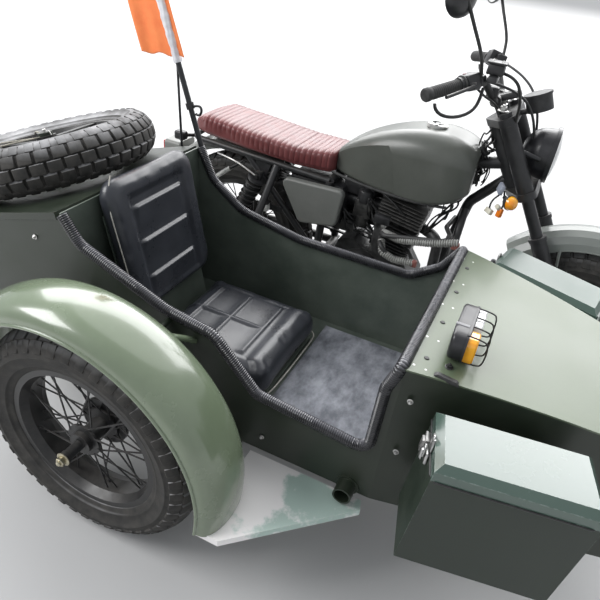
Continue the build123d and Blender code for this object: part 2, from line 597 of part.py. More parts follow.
PARTS["cylinder"] = fused(
    [barrel, cylinder_plane * Pos(0, 0, 126.0) * head_block, cylinder_plane * Pos(0, 0, 216.0) * head_cover,
     intake, intake_neck] + hoses + fins + head_fins
) - PARTS["engine_block"] - BIKE_FRAME

# Exhaust down the right side
EXHAUST_R = 19.0
MUFFLER_R = 42.0
MUFFLER_FRONT = (372.0, -178.0, 222.0)
MUFFLER_REAR = (-196.0, -186.0, 262.0)
header = pipe(
    [(742.0, -20.0, 556.0), (828.0, -60.0, 546.0), (840.0, -104.0, 330.0), (744.0, -166.0, 206.0),
     MUFFLER_FRONT],
    EXHAUST_R, 48.0,
)
muffler = rod(MUFFLER_FRONT, MUFFLER_REAR, MUFFLER_R)
PARTS["exhaust"] = fused([header, muffler]) - PARTS["cylinder"]

# Fuel tank: sections across, bulging at the sides, with a tunnel for the backbone
TANK_SECTIONS = [
    # x, half width, bottom z, top z, top corner radius
    (402.0, 66.0, 694.0, 776.0, 34.0),
    (480.0, 92.0, 684.0, 838.0, 52.0),
    (600.0, 120.0, 680.0, 892.0, 70.0),
    (720.0, 134.0, 682.0, 916.0, 80.0),
    (820.0, 128.0, 700.0, 908.0, 76.0),
    (884.0, 92.0, 742.0, 872.0, 50.0),
]


def section(x, half, low, high, radius, foot_radius=16.0):
    """A closed outline across X with wide round shoulders and small round feet."""
    top, foot = radius, foot_radius
    turn = sin(radians(45.0))
    edges = [
        Line((-half + foot, low), (half - foot, low)),
        ThreePointArc((half - foot, low), (half - foot + foot * turn, low + foot - foot * turn),
                      (half, low + foot)),
        Line((half, low + foot), (half, high - top)),
        ThreePointArc((half, high - top), (half - top + top * turn, high - top + top * turn),
                      (half - top, high)),
        Line((half - top, high), (-half + top, high)),
        ThreePointArc((-half + top, high), (-half + top - top * turn, high - top + top * turn),
                      (-half, high - top)),
        Line((-half, high - top), (-half, low + foot)),
        ThreePointArc((-half, low + foot), (-half + foot - foot * turn, low + foot - foot * turn),
                      (-half + foot, low)),
    ]
    return Plane(origin=(x, 0, 0), x_dir=(0, 1, 0), z_dir=(1, 0, 0)) * make_face(edges)


tank = loft([section(*row) for row in TANK_SECTIONS])
KNEE_DEPTH = 6.0
KNEE_OUTLINE = [
    (380.0, 660.0), (380.0, 758.0), (445.0, 806.0), (520.0, 842.0), (586.0, 856.0), (612.0, 822.0), (655.0, 660.0),
]
inner_tank = loft([section(x, half - KNEE_DEPTH, low, high + 40.0, radius)
                   for x, half, low, high, radius in TANK_SECTIONS])
knee = side_plate(KNEE_OUTLINE, -WHEEL_R, WHEEL_R)
knee = fillet(knee.edges().filter_by(Axis.Y), 24.0)
tank -= knee - inner_tank
TUNNEL_HALF = 38.0
TANK_END = 900.0
TUNNEL_ROOF = BACKBONE_R + 8.0
knee_x, _, knee_z = BACKBONE_KNEE
backbone_rise = (BACKBONE_FRONT.Z - knee_z) / (BACKBONE_FRONT.X - knee_x)
tunnel = side_plate(
    [(knee_x - 50.0, 600.0), (TANK_END, 600.0),
     (TANK_END, knee_z + (TANK_END - knee_x) * backbone_rise + TUNNEL_ROOF),
     (knee_x - 50.0, knee_z - 50.0 * backbone_rise + TUNNEL_ROOF)],
    -TUNNEL_HALF, TUNNEL_HALF,
)
PARTS["fuel_tank"] = tank - tunnel
CAP_AT = (716.0, 0.0, 914.5)
PARTS["filler_cap"] = Pos(*CAP_AT) * Cylinder(33.0, 12.0, align=(Align.CENTER, Align.CENTER, Align.MIN)) - tank

# Bench seat, side covers, rear fender and tail lamp
SEAT_SECTIONS = [
    # x, half width, bottom z, top z, top corner radius
    (-186.0, 92.0, 712.0, 762.0, 22.0),
    (-120.0, 120.0, 706.0, 790.0, 30.0),
    (60.0, 128.0, 694.0, 774.0, 32.0),
    (260.0, 122.0, 684.0, 760.0, 32.0),
    (398.0, 92.0, 682.0, 768.0, 30.0),
]
PARTS["bench_seat"] = loft([section(*row) for row in SEAT_SECTIONS])

SIDE_COVER = [(214.0, 646.0), (474.0, 656.0), (460.0, 512.0), (312.0, 486.0)]
covers = []
for side in (1, -1):
    low, high = (122.0, 148.0) if side > 0 else (-148.0, -122.0)
    plate = side_plate(SIDE_COVER, low, high)
    plate = fillet(plate.edges().filter_by(Axis.Y), 22.0)
    outer = plate.faces().sort_by(Axis.Y)[-1 if side > 0 else 0]
    covers.append(fillet(outer.edges(), 9.0))
PARTS["side_covers"] = covers[0] + covers[1]

REAR_FENDER_R = WHEEL_R + 72.0
REAR_FENDER_LIP_R = WHEEL_R + 32.0
REAR_FENDER_HALF = 84.0
PARTS["rear_fender"] = REAR_AT * fender(
    REAR_FENDER_R, REAR_FENDER_LIP_R, REAR_FENDER_HALF, 62.0, 158.0, 3.0
)
PARTS["rear_fender"] -= BIKE_FRAME
PARTS["bench_seat"] -= across(
    (0.0, WHEEL_R), REAR_FENDER_R + 1.0, -REAR_FENDER_HALF - 4.0, REAR_FENDER_HALF + 4.0
)
PARTS["bench_seat"] -= BIKE_FRAME

# Sidecar wheel axle, rails and the struts to the motorcycle
RAIL_R = 18.0
RAIL_Z = TUB_FLOOR_Z - RAIL_R
RAIL_RIGHT_Y = TUB_Y - TUB_HALF + 29.0
RAIL_LEFT_Y = TUB_Y + TUB_HALF - 23.0
RAIL_REAR_X = -380.0
RAIL_FRONT_X = 1180.0
CROSS_R = 15.0
TOE_IN = 40.0
CROSSES = [
    # x, right end y, left end y
    (-380.0, RAIL_RIGHT_Y, RAIL_LEFT_Y),
    (330.0, RAIL_RIGHT_Y + TOE_IN * 0.45, RAIL_LEFT_Y - TOE_IN * 0.45),
    (900.0, RAIL_RIGHT_Y + TOE_IN * 0.82, RAIL_LEFT_Y - TOE_IN * 0.82),
    (1160.0, RAIL_RIGHT_Y + TOE_IN * 0.99, RAIL_LEFT_Y - TOE_IN * 0.99),
]
car_frame = [
    rod((RAIL_REAR_X - 22.0, RAIL_RIGHT_Y, RAIL_Z), (RAIL_FRONT_X, RAIL_RIGHT_Y + TOE_IN, RAIL_Z), RAIL_R),
    rod((RAIL_REAR_X - 22.0, RAIL_LEFT_Y, RAIL_Z), (RAIL_FRONT_X, RAIL_LEFT_Y - TOE_IN, RAIL_Z), RAIL_R),
]
for x, right_y, left_y in CROSSES:
    car_frame.append(across((x, RAIL_Z), CROSS_R, right_y, left_y))
PARTS["sidecar_frame"] = fused(car_frame)

LINK_R = 14.0
LINK_Y = RAIL_LEFT_Y + 50.0
LINKS = [
    # sidecar end, then motorcycle end
    ((900.0, LINK_Y, RAIL_Z), (DOWN_TUBE_FOOT_X, -FRAME_HALF_WIDTH - FRAME_TUBE_R, FRAME_FLOOR_Z)),
    ((330.0, LINK_Y, RAIL_Z), (SWING_PIVOT[0] + 24.0, -FRAME_HALF_WIDTH - FRAME_TUBE_R,
                               FRAME_FLOOR_Z + 30.0)),
    ((900.0, LINK_Y, RAIL_Z), from_axle(-465.0, -14.0, 344.0)),
    ((160.0, LINK_Y, RAIL_Z), (186.0, -FRAME_HALF_WIDTH - 8.0, SEAT_RAIL_Z + 4.0)),
]
links = [rod(car_end, bike_end, LINK_R) for car_end, bike_end in LINKS]
for x in (160.0, 330.0, 900.0):
    rail_y = RAIL_LEFT_Y - TOE_IN * (x - RAIL_REAR_X) / (RAIL_FRONT_X - RAIL_REAR_X)
    links.append(across((x, RAIL_Z), LINK_R, rail_y, LINK_Y))
    links.append(Pos(x, LINK_Y, RAIL_Z) * Sphere(LINK_R + 2.0))
front_links = links[0] + [links[2]] + links[8:10]
links_solid = front_links + links[1] + links[6:8] + links[3] + links[4:6]
PARTS["sidecar_links"] = links_solid - PARTS["sidecar_frame"] - BIKE_FRAME

# Trailing arm, axle and shock of the sidecar wheel
WX, WY, WZ = SIDECAR_WHEEL
TRAIL_PIVOT_X = 560.0
trail_arm = fused([
    across((TRAIL_PIVOT_X, RAIL_Z), 17.0, WY + 83.0, RAIL_RIGHT_Y),
    pipe([(TRAIL_PIVOT_X, WY + 100.0, RAIL_Z), (WX + 90.0, WY + 100.0, WZ - 10.0), (WX, WY + 100.0, WZ)],
         17.0, 80.0),
    across((WX, WZ), 24.0, WY + 86.0, WY + 114.0),
])
sidecar_axle = fused([
    across((WX, WZ), AXLE_R, WY - 96.0, WY + 130.0),
    across((WX, WZ), AXLE_R + 8.0, WY - 104.0, WY - 90.0),
    across((WX, WZ), AXLE_R + 6.0, WY - 90.0, WY - HUB_HALF - 1.0),
    across((WX, WZ), AXLE_R + 6.0, WY + HUB_HALF + 1.0, WY + 86.0),
])
PARTS["axles"] = rear_axle + sidecar_axle
CAR_SHOCK_Y = TUB_Y - TUB_HALF - 52.0
CAR_SHOCK_TOP = (WX + 96.0, CAR_SHOCK_Y, 590.0)
CAR_SHOCK_FOOT = (WX + 60.0, CAR_SHOCK_Y, WZ + 16.0)
shock_shelf = across((CAR_SHOCK_TOP[0], CAR_SHOCK_TOP[2]), SHOCK_PIN_R, CAR_SHOCK_Y - 16.0,
                     TUB_Y - TUB_HALF)
shock_peg = across((CAR_SHOCK_FOOT[0], CAR_SHOCK_FOOT[2]), SHOCK_PIN_R, WY + 100.0, CAR_SHOCK_Y + 16.0)
shock_tab = rod((CAR_SHOCK_FOOT[0], WY + 100.0, CAR_SHOCK_FOOT[2]),
                (CAR_SHOCK_FOOT[0], WY + 100.0, WZ - 8.0), 12.0)
PARTS["trailing_arm"] = fused([trail_arm, shock_peg, shock_tab]) - sidecar_axle - PARTS["sidecar_frame"]
PARTS["shocks"] = rear_shock + mirror(rear_shock, about=Plane.XZ) + shock(CAR_SHOCK_TOP, CAR_SHOCK_FOOT)

# Sidecar tub: panels bent round a plan that tapers to the nose
RIGHT_RIM = [
    (COCKPIT_REAR_X, 783.0), (88.0, 716.0), (345.0, 617.0), (482.0, 598.0), (612.0, 466.0),
    (920.0, 436.0), (928.0, 640.0), (COCKPIT_FRONT_X, 707.0),
]
RIGHT_RIM_BENDS = [55.0, 150.0, 60.0, 34.0, 36.0, 60.0]
LEFT_RIM = [
    (COCKPIT_REAR_X, 783.0), (90.0, 686.0), (205.0, 606.0), (430.0, 566.0), (812.0, 566.0),
    (900.0, 628.0), (COCKPIT_FRONT_X, 707.0),
]
LEFT_RIM_BENDS = [80.0, 120.0, 200.0, 60.0, 60.0]
TRUNK_FRONT = (30.0, 766.0)
TRUNK_SLOPE = 17.0
TRUNK_REAR_Z = TRUNK_FRONT[1] - (TRUNK_FRONT[0] - TUB_TAIL_X) * tan(radians(TRUNK_SLOPE))
HOOD_MID = (1283.0, 668.0)
HOOD_NOSE = (NOSE_X, 598.0)


def plan(inset):
    """The tub's plan, inset from its outer faces."""
    half, nose = TUB_HALF - inset, NOSE_HALF - inset
    return make_face(Polyline(
        (TUB_TAIL_X - 1.0, TUB_Y - half), (COCKPIT_FRONT_X, TUB_Y - half), (NOSE_X, TUB_Y - nose),
        (NOSE_X, TUB_Y + nose), (COCKPIT_FRONT_X, TUB_Y + half), (TUB_TAIL_X - 1.0, TUB_Y + half),
        close=True,
    ))


def side_view(rim, bends, drop=0.0):
    """The outline of one side panel, its top following the cockpit rim."""
    top = FilletPolyline(*rim, radius=bends)
    hood = ThreePointArc(rim[-1], HOOD_MID, HOOD_NOSE)
    rest = Polyline(
        HOOD_NOSE, (NOSE_FOOT_X, TUB_FLOOR_Z), (TUB_TAIL_X, TUB_FLOOR_Z), (TUB_TAIL_X, TRUNK_REAR_Z),
        TRUNK_FRONT, rim[0],
    )
    return Curve() + [top, hood, rest]


walls = Pos(0, 0, TUB_FLOOR_Z) * extrude(plan(0.0), amount=600.0)
hollow = Pos(0, 0, TUB_FLOOR_Z) * extrude(plan(PANEL), amount=600.0)
ring = walls - hollow
right_view = side_plate(side_view(RIGHT_RIM, RIGHT_RIM_BENDS), TUB_Y - 400.0, TUB_Y)
left_view = side_plate(side_view(LEFT_RIM, LEFT_RIM_BENDS), TUB_Y, TUB_Y + 400.0)
front_slab = side_plate(
    [HOOD_NOSE, (NOSE_FOOT_X, TUB_FLOOR_Z), (NOSE_FOOT_X - PANEL, TUB_FLOOR_Z),
     (HOOD_NOSE[0] - PANEL, HOOD_NOSE[1])],
    TUB_Y - 400.0, TUB_Y + 400.0,
)
behind_front = side_plate(
    [(NOSE_FOOT_X - PANEL, TUB_FLOOR_Z - 1.0), (HOOD_NOSE[0] - PANEL, HOOD_NOSE[1]),
     (HOOD_NOSE[0] - PANEL, 900.0), (TUB_TAIL_X, 900.0), (TUB_TAIL_X, TUB_FLOOR_Z - 1.0)],
    TUB_Y - 400.0, TUB_Y + 400.0,
)
hood_arc = ThreePointArc((COCKPIT_FRONT_X, 707.0), HOOD_MID, HOOD_NOSE)
hood_low = ThreePointArc((HOOD_NOSE[0], HOOD_NOSE[1] - PANEL), (HOOD_MID[0], HOOD_MID[1] - PANEL),
                         (COCKPIT_FRONT_X, 707.0 - PANEL))
hood_edges = Curve() + [
    hood_arc, Line(HOOD_NOSE, (HOOD_NOSE[0], HOOD_NOSE[1] - PANEL)), hood_low,
    Line((COCKPIT_FRONT_X, 707.0 - PANEL), (COCKPIT_FRONT_X, 707.0)),
]
hood_skin = side_plate(hood_edges, TUB_Y - 400.0, TUB_Y + 400.0)
hood = (walls & hood_skin) + (walls & front_slab)
right_wall = (ring & right_view & behind_front) - hood
left_wall = (ring & left_view & behind_front) - hood
SOCKET_AT = (886.0, TUB_FLOOR_Z + 15.0)
SOCKET_R = 24.0
SOCKET_REACH = 42.0
panel_face = TUB_Y - TUB_HALF
socket = across(SOCKET_AT, SOCKET_R, panel_face - SOCKET_REACH, panel_face)
socket += across(SOCKET_AT, SOCKET_R + 6.0, panel_face - PANEL, panel_face)
socket -= across(SOCKET_AT, SOCKET_R - PANEL, panel_face - SOCKET_REACH - 1.0, panel_face - PANEL)
PARTS["tub_right_panel"] = fused([right_wall, shock_shelf, socket])
PARTS["tub_left_panel"] = left_wall
PARTS["hood"] = hood
BULKHEAD_X = 30.0
BULKHEAD_TOP = 783.0
inner_half = TUB_HALF - PANEL
floor_slab = Pos(0, 0, TUB_FLOOR_Z) * extrude(plan(PANEL), amount=PANEL) & behind_front
tail = Pos(TUB_TAIL_X + 1.5 * PANEL, TUB_Y, (TUB_FLOOR_Z + TRUNK_REAR_Z) / 2) * Box(
    PANEL, 2 * inner_half, TRUNK_REAR_Z - TUB_FLOOR_Z)
bulkhead = Pos(BULKHEAD_X + PANEL / 2, TUB_Y, (TUB_FLOOR_Z + BULKHEAD_TOP) / 2) * Box(
    PANEL, 2 * inner_half, BULKHEAD_TOP - TUB_FLOOR_Z)
PARTS["tub_floor"] = fused([floor_slab, tail, bulkhead]) - hood - right_wall - left_wall

# Ribbed rubber trim round the cockpit
TRIM_R = 12.0


def rim_trim(rim, bends, y):
    path = Plane.XZ.offset(-y) * FilletPolyline(*rim, radius=bends)
    return sweep(Plane(origin=path @ 0, z_dir=path % 0) * Circle(TRIM_R), path=path)


hood_edge = rod((COCKPIT_FRONT_X, TUB_Y - TUB_HALF + PANEL / 2, 707.0 - PANEL / 2),
                (COCKPIT_FRONT_X, TUB_Y + TUB_HALF - PANEL / 2, 707.0 - PANEL / 2), TRIM_R)
corners = [Pos(COCKPIT_FRONT_X, TUB_Y + side * (TUB_HALF - PANEL / 2), 706.0) * Sphere(TRIM_R)
           for side in (1, -1)]
trim = fused([
    rim_trim(RIGHT_RIM, RIGHT_RIM_BENDS, TUB_Y - TUB_HALF + PANEL / 2),
    rim_trim(LEFT_RIM, LEFT_RIM_BENDS, TUB_Y + TUB_HALF - PANEL / 2),
    hood_edge,
] + corners)
PARTS["cockpit_trim"] = trim - right_wall - left_wall - PARTS["hood"] - PARTS["tub_floor"]

# Seat: padded back, cushion, olive frame, and the floor mat
SEAT_HALF = 187.0
SEAT_RECLINE = 14.0
BACK_FRONT_FOOT = (176.0, 436.0)
BACK_HEIGHT = 416.0
BACK_THICK = 48.0
back_plane = Plane(
    origin=(BACK_FRONT_FOOT[0], TUB_Y, BACK_FRONT_FOOT[1]), x_dir=(0, 1, 0),
    z_dir=(cos(radians(SEAT_RECLINE)), 0, sin(radians(SEAT_RECLINE))),
)
back_outline = Pos(0, BACK_HEIGHT / 2) * RectangleRounded(2 * SEAT_HALF, BACK_HEIGHT, 52.0)
back_pad = back_plane * extrude(back_outline, amount=-BACK_THICK)
front_rim = back_pad.faces().sort_by(Axis(back_plane.origin, back_plane.z_dir))[-1].edges()
PARTS["seat_back"] = fillet(front_rim, 14.0)
CUSHION = ((180.0, 572.0), (300.0, 404.0))
cushion = Pos((CUSHION[0][0] + CUSHION[0][1]) / 2, TUB_Y, (CUSHION[1][0] + CUSHION[1][1]) / 2) * fillet(
    Box(CUSHION[0][1] - CUSHION[0][0], 2 * SEAT_HALF, CUSHION[1][1] - CUSHION[1][0]).edges(), 24.0)
PARTS["seat_cushion"] = cushion
base_low = TUB_FLOOR_Z + PANEL
back_sheet = back_plane * Pos(0, 0, -BACK_THICK) * extrude(
    Pos(0, BACK_HEIGHT / 2 - 130.0) * Rectangle(2 * SEAT_HALF - 10.0, BACK_HEIGHT + 60.0), amount=-5.0)
above_base = [(0.0, base_low), (400.0, base_low), (400.0, 900.0), (0.0, 900.0)]
back_sheet &= side_plate(above_base, TUB_Y - 300.0, TUB_Y + 300.0)
base_box = Pos(358.0, TUB_Y, (base_low + CUSHION[1][0]) / 2) * Box(412.0, 2 * SEAT_HALF - 16.0,
                                                                   CUSHION[1][0] - base_low)
PARTS["seat_frame"] = fused([back_sheet, base_box]) - PARTS["tub_floor"]
PARTS["floor_mat"] = Pos(752.0, TUB_Y, base_low + 3.0) * Box(344.0, 560.0, 6.0)

# Sidecar fender with a beaded lip, and the step plate ahead of it
CAR_FENDER_R = WHEEL_R + 94.5
CAR_FENDER_LIP_R = WHEEL_R + 44.5
CAR_FENDER_HALF = 88.0
car_fender = SIDECAR_AT * fender(CAR_FENDER_R, CAR_FENDER_LIP_R, CAR_FENDER_HALF, -9.0, 172.0, 5.0)
fender_arms = []
for x in (WX - 170.0, WX + 170.0):
    fender_arm = rod((x, TUB_Y - TUB_HALF + 20.0, WZ + 236.0), (x, WY + CAR_FENDER_HALF - 3.0, WZ + 326.0), 9.0)
    fender_arms.append(fender_arm - Pos(x, TUB_Y, WZ + 280.0) * Box(60.0, 2 * TUB_HALF, 200.0))
STEP_Z = 259.0
STEP_REAR_X = WX + WHEEL_R + 32.0
STEP_OUTLINE = [
    (STEP_REAR_X, TUB_Y - TUB_HALF - 2.0), (STEP_REAR_X + 318.0, TUB_Y - TUB_HALF - 2.0),
    (STEP_REAR_X + 326.0, TUB_Y - TUB_HALF - 30.0), (STEP_REAR_X + 64.0, WY - 78.0), (STEP_REAR_X, WY - 78.0),
]
STEP_SHEET = 4.0
STEP_LIP = 16.0
step_face = make_face(Polyline(*STEP_OUTLINE, close=True))
step = Pos(0, 0, STEP_Z) * extrude(step_face, amount=STEP_SHEET)
step_lip = Pos(0, 0, STEP_Z) * extrude(step_face - offset(step_face, amount=-STEP_SHEET), amount=-STEP_LIP)
step_lip -= Pos(WX, TUB_Y, STEP_Z) * Box(4 * WHEEL_R, 2 * TUB_HALF + 50.0, 4 * STEP_LIP)
step = fused([step, step_lip])
PARTS["sidecar_fender"] = fused([car_fender] + fender_arms)
PARTS["step_plate"] = step - car_fender - PARTS["sidecar_frame"]

# Tool boxes beside the nose, with hinged lids
BOX_LENGTH, BOX_WIDTH, BOX_BODY, BOX_LID = 316.0, 158.0, 248.0, 38.0
BOX_YAW = 12.3
BOX_PITCH = 4.0
BOX_REAR_INNER = (1034.0, -TUB_HALF - 36.0, 674.0)
BOX_WALL = 4.0


def box_place():
    """The frame of the right tool box: x ahead, y inward, z up, at its top rear inner edge."""
    x, y, z = BOX_REAR_INNER
    return Pos(x, TUB_Y + y, z) * Rot(0, 0, BOX_YAW) * Rot(0, BOX_PITCH, 0)


def corner_box(x_low, x_high, y_low, y_high, z_low, z_high):
    return Pos((x_low + x_high) / 2, (y_low + y_high) / 2, (z_low + z_high) / 2) * Box(
        x_high - x_low, y_high - y_low, z_high - z_low)


box_body = corner_box(0, BOX_LENGTH, -BOX_WIDTH, 0, -BOX_BODY - BOX_LID, -BOX_LID)
box_body -= corner_box(BOX_WALL, BOX_LENGTH - BOX_WALL, BOX_WALL - BOX_WIDTH, -BOX_WALL,
                       BOX_WALL - BOX_BODY - BOX_LID, 0)
lid_block = corner_box(0, BOX_LENGTH, -BOX_WIDTH, 0, -BOX_LID + 1.0, -14.0)
BEVEL = 15.0
lid_foot = Pos(BOX_LENGTH / 2, -BOX_WIDTH / 2, -14.0) * Rectangle(BOX_LENGTH, BOX_WIDTH)
lid_top = Pos(BOX_LENGTH / 2, -BOX_WIDTH / 2, 0.0) * Rectangle(BOX_LENGTH - 2 * BEVEL, BOX_WIDTH - 2 * BEVEL)
lid_crown = loft([lid_foot, lid_top], ruled=True)
lid_hollow = corner_box(BOX_WALL, BOX_LENGTH - BOX_WALL, BOX_WALL - BOX_WIDTH, -BOX_WALL, -BOX_LID, -16.0)
box_lid = fused([lid_block, lid_crown]) - lid_hollow
LID_HINGE = (BOX_LENGTH + 5.0, -BOX_WIDTH / 2, 0.5 - BOX_LID)
KNUCKLE_R = 4.5
LEAF = 4.0


def knuckle(y_low, y_high, leaf_low, leaf_high):
    """A hinge knuckle on the lid's axis, with its leaf against the box's front end."""
    x, _, z = LID_HINGE
    barrel = rod((x, y_low, z), (x, y_high, z), KNUCKLE_R)
    return barrel + corner_box(BOX_LENGTH, BOX_LENGTH + LEAF, y_low, y_high, z + leaf_low, z + leaf_high)


box_body = fused([box_body, knuckle(-BOX_WIDTH + 52.0, -52.0, -24.0, 0.0)])
box_lid = fused([
    box_lid, knuckle(-BOX_WIDTH + 20.0, -BOX_WIDTH + 51.0, 0.0, 16.0), knuckle(-51.0, -20.0, 0.0, 16.0),
])
TUB_MIRROR = Plane.XZ.offset(-TUB_Y)
PARTS["right_box_lid"] = box_place() * box_lid
PARTS["left_box_lid"] = mirror(PARTS["right_box_lid"], about=TUB_MIRROR)
arms = []
for x in (1100.0, 1270.0):
    arm_bar = Pos(x, TUB_Y - 300.0, 520.0) * Box(30.0, 220.0, 90.0)
    arm_bar -= walls
    arm_bar -= box_place() * corner_box(-50, BOX_LENGTH + 50, -BOX_WIDTH - 200, 0, -600, 50)
    arms.append(arm_bar)
right_box = fused([box_place() * box_body] + arms)
PARTS["tool_boxes"] = right_box + mirror(right_box, about=TUB_MIRROR)

# Trunk lid with the spare wheel
LID_THICK = 20.0
LID_GAP = 1.0
lid_plane = Pos(TRUNK_FRONT[0], TUB_Y, TRUNK_FRONT[1]) * Rot(0, -TRUNK_SLOPE, 0)
LID_LENGTH = (TRUNK_FRONT[0] - TUB_TAIL_X) / cos(radians(TRUNK_SLOPE))
lid = lid_plane * corner_box(-LID_LENGTH - 6.0, -6.0, -TUB_HALF - 2.0, TUB_HALF + 2.0, LID_GAP, LID_THICK)
SPARE_AT = (-305.0, TUB_Y + 10.0, 765.0)
SPARE_TILT = 19.0
spare_place = Pos(*SPARE_AT) * Rot(0, -SPARE_TILT, 0) * Rot(90.0, 0, 0)
PARTS["spare_tyre"] = spare_place * TYRE
PARTS["spare_wheel_rim"] = spare_place * WHEEL
carrier = Pos(*SPARE_AT) * Rot(0, -SPARE_TILT, 0) * fused([
    Pos(0, 0, -38.0) * Cylinder(AXLE_R, 190.0),
    Pos(0, 0, 55.0) * Cylinder(22.0, 10.0),
    Pos(0, 0, -100.0) * Cylinder(60.0, 100.0),
])
carrier -= lid_plane * corner_box(-900, 200, -500, 500, -400, LID_GAP)

# Trunk hinge: knuckles along the rear edge, in turn on the tail panel and on the lid
TRUNK_HINGE_X = -LID_LENGTH - 6.0
TRUNK_KNUCKLE_R = 5.0
lid_knuckles, tail_knuckles = [], []
for middle in (-190.0, 190.0):
    for y_low, y_high, knuckles in (
        (middle - 60.0, middle - 21.0, lid_knuckles), (middle - 20.0, middle + 20.0, tail_knuckles),
        (middle + 21.0, middle + 60.0, lid_knuckles),
    ):
        ends = (TRUNK_HINGE_X, y_low, 0.0), (TRUNK_HINGE_X, y_high, 0.0)
        barrel = lid_plane * rod(*ends, TRUNK_KNUCKLE_R)
        if knuckles is lid_knuckles:
            leaf = lid_plane * corner_box(
                TRUNK_HINGE_X, TRUNK_HINGE_X + 6.0, y_low, y_high, 0.0, LID_THICK)
        else:
            leaf = Pos(TUB_TAIL_X - 1.0, TUB_Y + middle, TRUNK_REAR_Z - 16.0) * Box(10.0, y_high - y_low, 30.0)
            lid -= lid_plane * rod((TRUNK_HINGE_X, y_low - 1.0, 0.0), (TRUNK_HINGE_X, y_high + 1.0, 0.0),
                                   TRUNK_KNUCKLE_R + 1.0)
        knuckles.append(barrel + leaf)
PARTS["trunk_lid"] = fused([lid, carrier] + lid_knuckles)
PARTS["tub_floor"] += [piece - PARTS["trunk_lid"] for piece in tail_knuckles]

# Lamp on the hood with its wire guard
HOOD_LAMP_AT = (1030.0, TUB_Y - 122.0, 742.0)
lamp_body = Pos(*HOOD_LAMP_AT) * fillet(Box(44.0, 236.0, 80.0).edges().filter_by(Axis.X), 18.0)
lamp_lens = Pos(HOOD_LAMP_AT[0] + 35.0, HOOD_LAMP_AT[1], HOOD_LAMP_AT[2]) * fillet(
    Box(26.0, 200.0, 56.0).edges().filter_by(Axis.X), 10.0)
lamp_foot = Pos(HOOD_LAMP_AT[0], HOOD_LAMP_AT[1], HOOD_LAMP_AT[2] - 40.0) * Box(30.0, 180.0, 30.0)
PARTS["hood_lamp_lens"] = lamp_lens
GUARD_X = HOOD_LAMP_AT[0] + 62.0
GUARD_R = 2.0
guard = []
for offset in (-84.0, -42.0, 0.0, 42.0, 84.0):
    y = HOOD_LAMP_AT[1] + offset
    guard.append(pipe(
        [(HOOD_LAMP_AT[0] + 20.0, y, HOOD_LAMP_AT[2] + 36.0), (GUARD_X, y, HOOD_LAMP_AT[2] + 34.0),
         (GUARD_X, y, HOOD_LAMP_AT[2] - 34.0), (HOOD_LAMP_AT[0] + 20.0, y, HOOD_LAMP_AT[2] - 36.0)],
        GUARD_R, 12.0))
guard.append(rod((GUARD_X, HOOD_LAMP_AT[1] - 86.0, HOOD_LAMP_AT[2]),
                 (GUARD_X, HOOD_LAMP_AT[1] + 86.0, HOOD_LAMP_AT[2]), GUARD_R))
under_hood = side_plate(
    [(900.0, 500.0), (COCKPIT_FRONT_X, 707.0), (1155.0, 690.0), (1200.0, 500.0)], TUB_Y - 400, TUB_Y + 400)
PARTS["hood_lamp"] = fused([lamp_body, lamp_foot] + guard) - under_hood - PARTS["hood"] - lamp_lens

# Flag pole and its prop at the left rear of the cockpit
POLE_Y = TUB_Y + TUB_HALF + 12.0
POLE_FOOT = (76.0, POLE_Y, 660.0)
POLE_LEAN = 0.361
POLE_TOP_Z = 1424.0
POLE_R = 9.0
TIP_R, TIP_LENGTH = 6.0, 30.0
pole_top = (POLE_FOOT[0] - POLE_LEAN * (POLE_TOP_Z - POLE_FOOT[2]), POLE_Y, POLE_TOP_Z)
PROP_FOOT = (-40.0, POLE_Y, 690.0)
prop_top = (POLE_FOOT[0] - POLE_LEAN * (1042.0 - POLE_FOOT[2]), POLE_Y, 1042.0)
clamps = [
    Pos(x, TUB_Y + TUB_HALF + 5.0, z) * Box(26.0, 10.0, 26.0)
    for x, z in ((POLE_FOOT[0] + 2.0, POLE_FOOT[2] + 8.0), (PROP_FOOT[0], PROP_FOOT[2] + 8.0))
]
POLE_UP = (Vector(*pole_top) - Vector(*POLE_FOOT)).normalized()
pole_tip = rod(pole_top, Vector(*pole_top) + POLE_UP * TIP_LENGTH, TIP_R)
PARTS["flag_pole"] = fused([rod(POLE_FOOT, pole_top, POLE_R), rod(PROP_FOOT, prop_top, 4.0), pole_tip] + clamps)
PARTS["flag_pole"] -= PARTS["cockpit_trim"]
FLAG = [(-212.0, 1044.0), (-70.0, 1044.0), (-196.0, 1400.0), (-330.0, 1400.0)]
PARTS["flag"] = side_plate(FLAG, POLE_Y - 3.0, POLE_Y + 3.0) - PARTS["flag_pole"]

# Chain on the left, round the sprocket and into the engine's cover
CHAIN_GAP = 1.5
CHAIN = 9.0
CHAIN_Y = (79.0, 89.0)
CHAIN_FRONT = (500.0, 340.0)
CHAIN_FRONT_R = 30.0
CHAIN_REAR_R = SPROCKET_R + CHAIN_GAP


def chain_outline(grow):
    """The hull of two circles, one round each sprocket."""
    rear = Pos(0, WHEEL_R) * Circle(CHAIN_REAR_R + grow)
    front = Pos(*CHAIN_FRONT) * Circle(CHAIN_FRONT_R + grow)
    return make_hull((rear + front).edges())


chain_face = make_face(chain_outline(CHAIN)) - make_face(chain_outline(0.0))
chain = extrude(Plane.XZ.offset(-CHAIN_Y[1]) * chain_face, amount=CHAIN_Y[1] - CHAIN_Y[0])
PARTS["chain"] = chain - PARTS["engine_block"]

